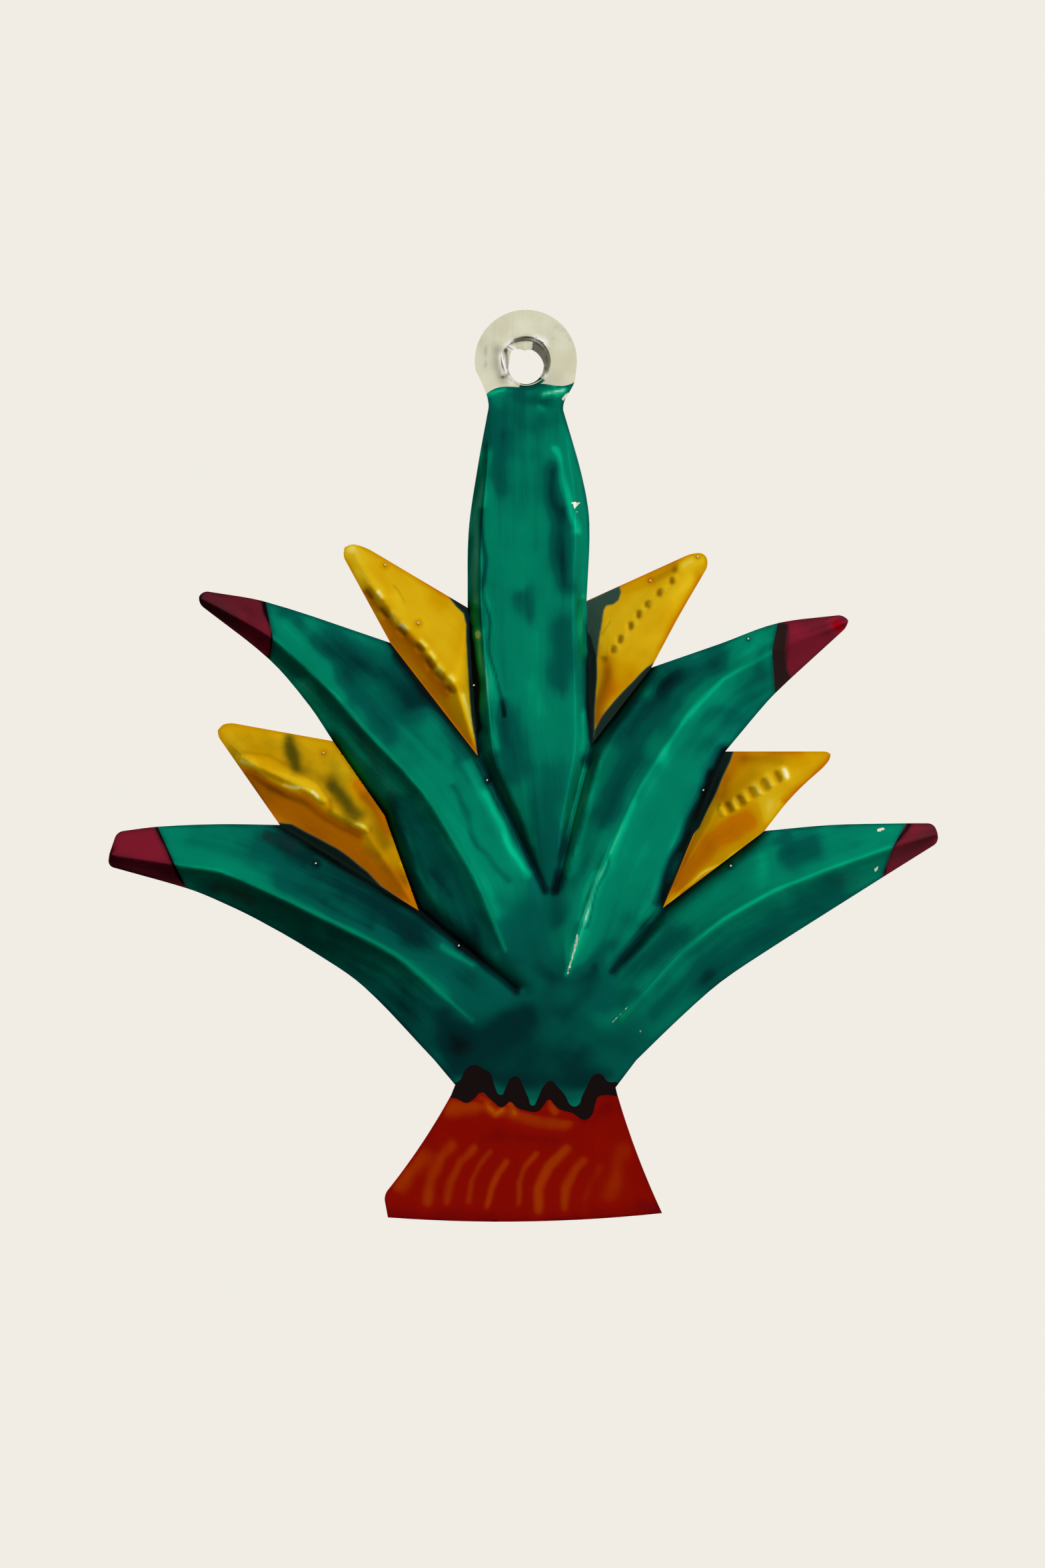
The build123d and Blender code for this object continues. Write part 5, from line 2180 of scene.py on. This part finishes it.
@dataclass
class ToothedBand(LacquerFilm):
    """The dark band at the waist, whose teeth were pulled with a full brush and have round ends."""

    rim: Line = ()
    rim_steps: int = 5

    def cut_out(self, nodes: Nodes) -> Piece:
        """Cuts a block of fine cells to a smooth outline through the rim's points.

        Args:
            nodes: The CAD nodes by name.

        Returns:
            A closed flat block in front of the die.
        """
        sheet = self.blank()
        block = Bench.curve(f"{self.name}_cutter", [(x, z, 0.0) for x, z in self.rim], "2D", self.rim_steps)
        block.data.fill_mode = "FRONT"
        block.data.splines[0].use_cyclic_u = True
        block.location = (0.0, -2 * CLEAR * MM, 0.0)
        block.rotation_euler = UPRIGHT
        bpy.ops.object.convert(target="MESH")
        bpy.ops.object.transform_apply(location=True, rotation=True, scale=True)
        Bench.merge(block)
        Bench.thicken(block, 4 * CLEAR)
        self.trim(sheet, block, Trim.INSIDE)
        self.trim(sheet, self._cutter(nodes["tin_sheet"]), Trim.INSIDE)
        return sheet


@dataclass
class TinSheet(PressedSheet):
    """The one sheet of tinplate, with the torn lip of its hanging hole and lengths in millimetres.

    Below the seam's top, the tin under the films is dark where the cut edge is farther than the seam's gap.
    """

    lip: TornLip = field(default_factory=TornLip)
    lip_overlap: float = 0.03
    mouth_sides: int = 96
    # Scratches on the loop, and painted shade beside the curls and flaps of the lip and along the loop's
    # upper right rim
    scratches_and_lip_shade: Strokes = (
        Stroke(((-4.8, 2.4), (-4.95, 0.8), (-4.6, -1.0)), 0.08, 0.26),
        Stroke(((-4.8, 2.4), (-3.8, 2.9)), 0.07, 0.18),
        Stroke(((3.4, 4.9), (4.6, 4.3), (5.3, 3.3)), 0.10, 0.20),
        Stroke(((2.9, 3.6), (3.6, 3.1)), 0.07, 0.16),
        Stroke(((-1.6, 2.95), (0.0, 3.45), (0.8, 3.35)), 0.28, 0.60),
        Stroke(((0.95, 3.1), (0.85, 2.2)), 0.10, 0.60),
        Stroke(((1.15, 2.90), (1.75, 2.65), (2.20, 2.25)), 0.18, 0.75),
        Stroke(((2.55, 1.8), (2.65, 0.8), (2.45, -0.4)), 0.25, 0.45),
        Stroke(((-2.4, 2.0), (-2.3, 0.6), (-2.1, -0.8)), 0.24, 0.85),
        Stroke(((-1.7, 2.75), (-2.5, 1.9)), 0.14, 0.75),
        Stroke(((-2.8, -1.2), (-1.9, -0.9)), 0.22, 0.75),
        Stroke(((-3.3, 2.0), (-3.2, 0.5), (-3.1, -1.2)), 0.35, 0.12),
        Stroke(((-5.0, 2.6), (-4.9, 0.0)), 1.0, 0.09),
        Stroke(((-3.5, 2.2), (-3.5, 0.0), (-2.7, -1.7)), 0.6, 0.38),
        Stroke(((3.2, 5.4), (5.0, 4.2), (6.0, 2.4)), 0.5, 0.07),
    )
    seam_top: float = -4.0
    seam_gap: float = 0.4
    turned: float = 0.5
    # Darker along the back's creases, and painted shade in its hollows
    crease_darkening: float = 0.16
    groove_width: float = 0.45
    ridge_width: float = 0.35
    hollow_shade: float = 0.08
    hollow_width: float = 2.2

    def cut_out(self, nodes: Nodes) -> Piece:
        """Cuts the outline, then the round mouth of the hole.

        Args:
            nodes: The CAD nodes by name.

        Returns:
            A closed flat block in front of the die.
        """
        sheet = self.blank()
        self.trim(sheet, self._cutter(nodes[self.node]), Trim.INSIDE)
        for ear in self._ears(nodes):
            self.trim(sheet, ear, Trim.OUTSIDE)
        Bench.deselect()
        bpy.ops.mesh.primitive_cylinder_add(
            vertices=self.mouth_sides,
            radius=(self.lip.mouth_radius - self.lip_overlap) * MM,
            depth=4 * CLEAR * MM,
            location=(0.0, 0.0, self.lip.mouth_centre * MM),
            rotation=UPRIGHT,
        )
        punch = bpy.context.active_object
        bpy.ops.object.transform_apply(location=True, rotation=True, scale=True)
        self.trim(sheet, punch, Trim.OUTSIDE)
        return sheet

    def _ears(self, nodes: Nodes) -> list[Piece]:
        """The sharp points that the soft corners of the films leave over.

        Args:
            nodes: The CAD nodes by name.

        Returns:
            One closed helper for each film that has soft corners.
        """
        ears = []
        for film in sorted(set(nodes) - {self.node}):
            soft = self._soft_cutter(nodes[film])
            if soft:
                sharp = self._cutter(nodes[film])
                self.trim(sharp, soft, Trim.OUTSIDE)
                ears.append(sharp)
        return ears

    def add_details(self) -> None:
        """Joins the lip and its curls to the sheet."""
        Bench.join([self.piece, *self.lip.build()])

    def dress(self, material: bpy.types.Material) -> None:
        """Scratches the loop, paints shade around its lip and highlights on its curls, darkens the worked
        back along its creases with painted shade in its hollows, darkens seams and gives the sheet its
        finish.

        Args:
            material: The finish.
        """
        points = Bench.drawing(self.piece)
        towards = np.zeros(len(points) * 3)
        self.piece.data.vertices.foreach_get("normal", towards)
        facing = towards.reshape(-1, 3)[:, 1]
        front, back = facing < -self.turned, facing > self.turned
        struck = nearest_of(points, (*LEAF_RIDGES.values(), *SMALL_RIDGES.values(), *SPIKE_CREASES))
        folded = nearest_of(points, GROOVES)
        # Darker along the back's creases, with wide painted shade in its hollows
        worked = self.crease_darkening * soft_edge(folded, self.groove_width)
        worked += self.crease_darkening * soft_edge(struck, self.ridge_width)
        worked += self.hollow_shade * soft_edge(struck, self.hollow_width)
        # Scratches, painted shade around the lip, and the darkened back
        self.paint("stain_and_shade", laid(points, self.scratches_and_lip_shade) + back * worked)
        coated = front & (points[:, 1] < self.seam_top) & (self.rim_distance() > self.seam_gap)
        self.paint("seam", coated.astype(float))
        # Painted highlight on the curls
        shine = tuple(Stroke(curl.line, curl.width, 1.0) for curl in self.lip.curls)
        self.paint("shine", laid(points, shine))
        self.draw_pull(points, (LOOP_AXIS, SPIKE_AXIS, *LEAF_RIDGES.values()))
        self.coat_with(material)


def make_films() -> list[tuple[LacquerFilm, LacquerFinish]]:
    """Lists every film of lacquer.

    Returns:
        The films with their finishes.
    """
    coat = {"thickness": COAT, "lift": COAT}
    green = LacquerFilm(
        "green_lacquer", "green_film", Slot.GREEN, cell=0.27, **coat,
        under=("dark_band_lacquer",),
        strokes=GREEN_TONE_AND_PAINTED_LIGHT, stains_and_shade=GREEN_PAINTED_DARK_REFLECTIONS, chips_and_glints=GREEN_CHIPS_AND_GLINTS, bubbles=GREEN_BUBBLES,
        flaps=(Petal(256.0, 314.0, (2.06, 2.06, 2.08), roll=0.45, slope=0.40, lead=0.23),),
        pulls=(SPIKE_AXIS, *LEAF_RIDGES.values()), body_film=0.47, pool_film=0.38, ridge_highlight=-0.20,
    )
    foot = LacquerFilm(
        "red_foot_lacquer", "red_foot_film", Slot.RED, cell=0.3, **coat,
        strokes=RED_STROKES, stains_and_shade=RED_STAINS, pulls=(FOOT_AXIS,), body_film=0.60, unevenness=0.1,
    )
    band = ToothedBand(
        "dark_band_lacquer", "dark_band_film", Slot.DARK, cell=0.2, thickness=COAT, lift=COAT + BAND_STEP,
        rim=BAND_RIM, body_film=0.5,
    )
    films = [(green, GREEN_FINISH), (foot, RED_FINISH), (band, DARK_FINISH)]
    for quarter in Quarter:
        place = quarter.value
        yellow = LacquerFilm(
            f"yellow_leaf_lacquer_{place}", f"yellow_leaf_film_{place}", Slot.YELLOW, cell=0.15, **coat,
            strokes=YELLOW_TONE_AND_PAINTED_LIGHT[quarter], stains_and_shade=YELLOW_STAINS_AND_SHADE[quarter],
            dents_and_shade=YELLOW_DENTS_AND_SHADE[quarter], bubbles=YELLOW_BUBBLES[quarter], overlaps=YELLOW_OVERLAPS[quarter],
            pulls=(SMALL_RIDGES[quarter],), body_film=0.34,
        )
        crimson = LacquerFilm(
            f"crimson_tip_lacquer_{place}", f"crimson_tip_film_{place}", Slot.CRIMSON, cell=0.15, **coat,
            strokes=CRIMSON_TONE_AND_PAINTED_LIGHT[quarter], stains_and_shade=CRIMSON_STAINS[quarter],
            overlaps=CRIMSON_OVERLAPS[quarter],
            pulls=(LEAF_RIDGES[quarter],), body_film=0.45,
        )
        films += [(yellow, YELLOW_FINISH), (crimson, CRIMSON_FINISH)]
    return films


def main() -> None:
    """Builds the ornament piece by piece, then the studio around it."""
    logging.basicConfig(level=logging.INFO, format="%(name)s %(message)s")
    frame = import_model()
    nodes = frame["nodes"]
    die = EmbossingDie().build(nodes["tin_sheet"])
    tin = TinSheet("tin_sheet", "tin_sheet_body", Slot.BARE_TIN, cell=0.35, thickness=SHEET)
    tin.build(nodes, die)
    tin.dress(BareTinFinish().make())
    finishes: dict[LacquerFinish, bpy.types.Material] = {}
    for film, finish in make_films():
        film.build(nodes, die)
        if finish not in finishes:
            finishes[finish] = finish.make()
        film.dress(finishes[finish])
    Bench.bin(die)
    Studio().build()


if __name__ == "__main__":
    main()
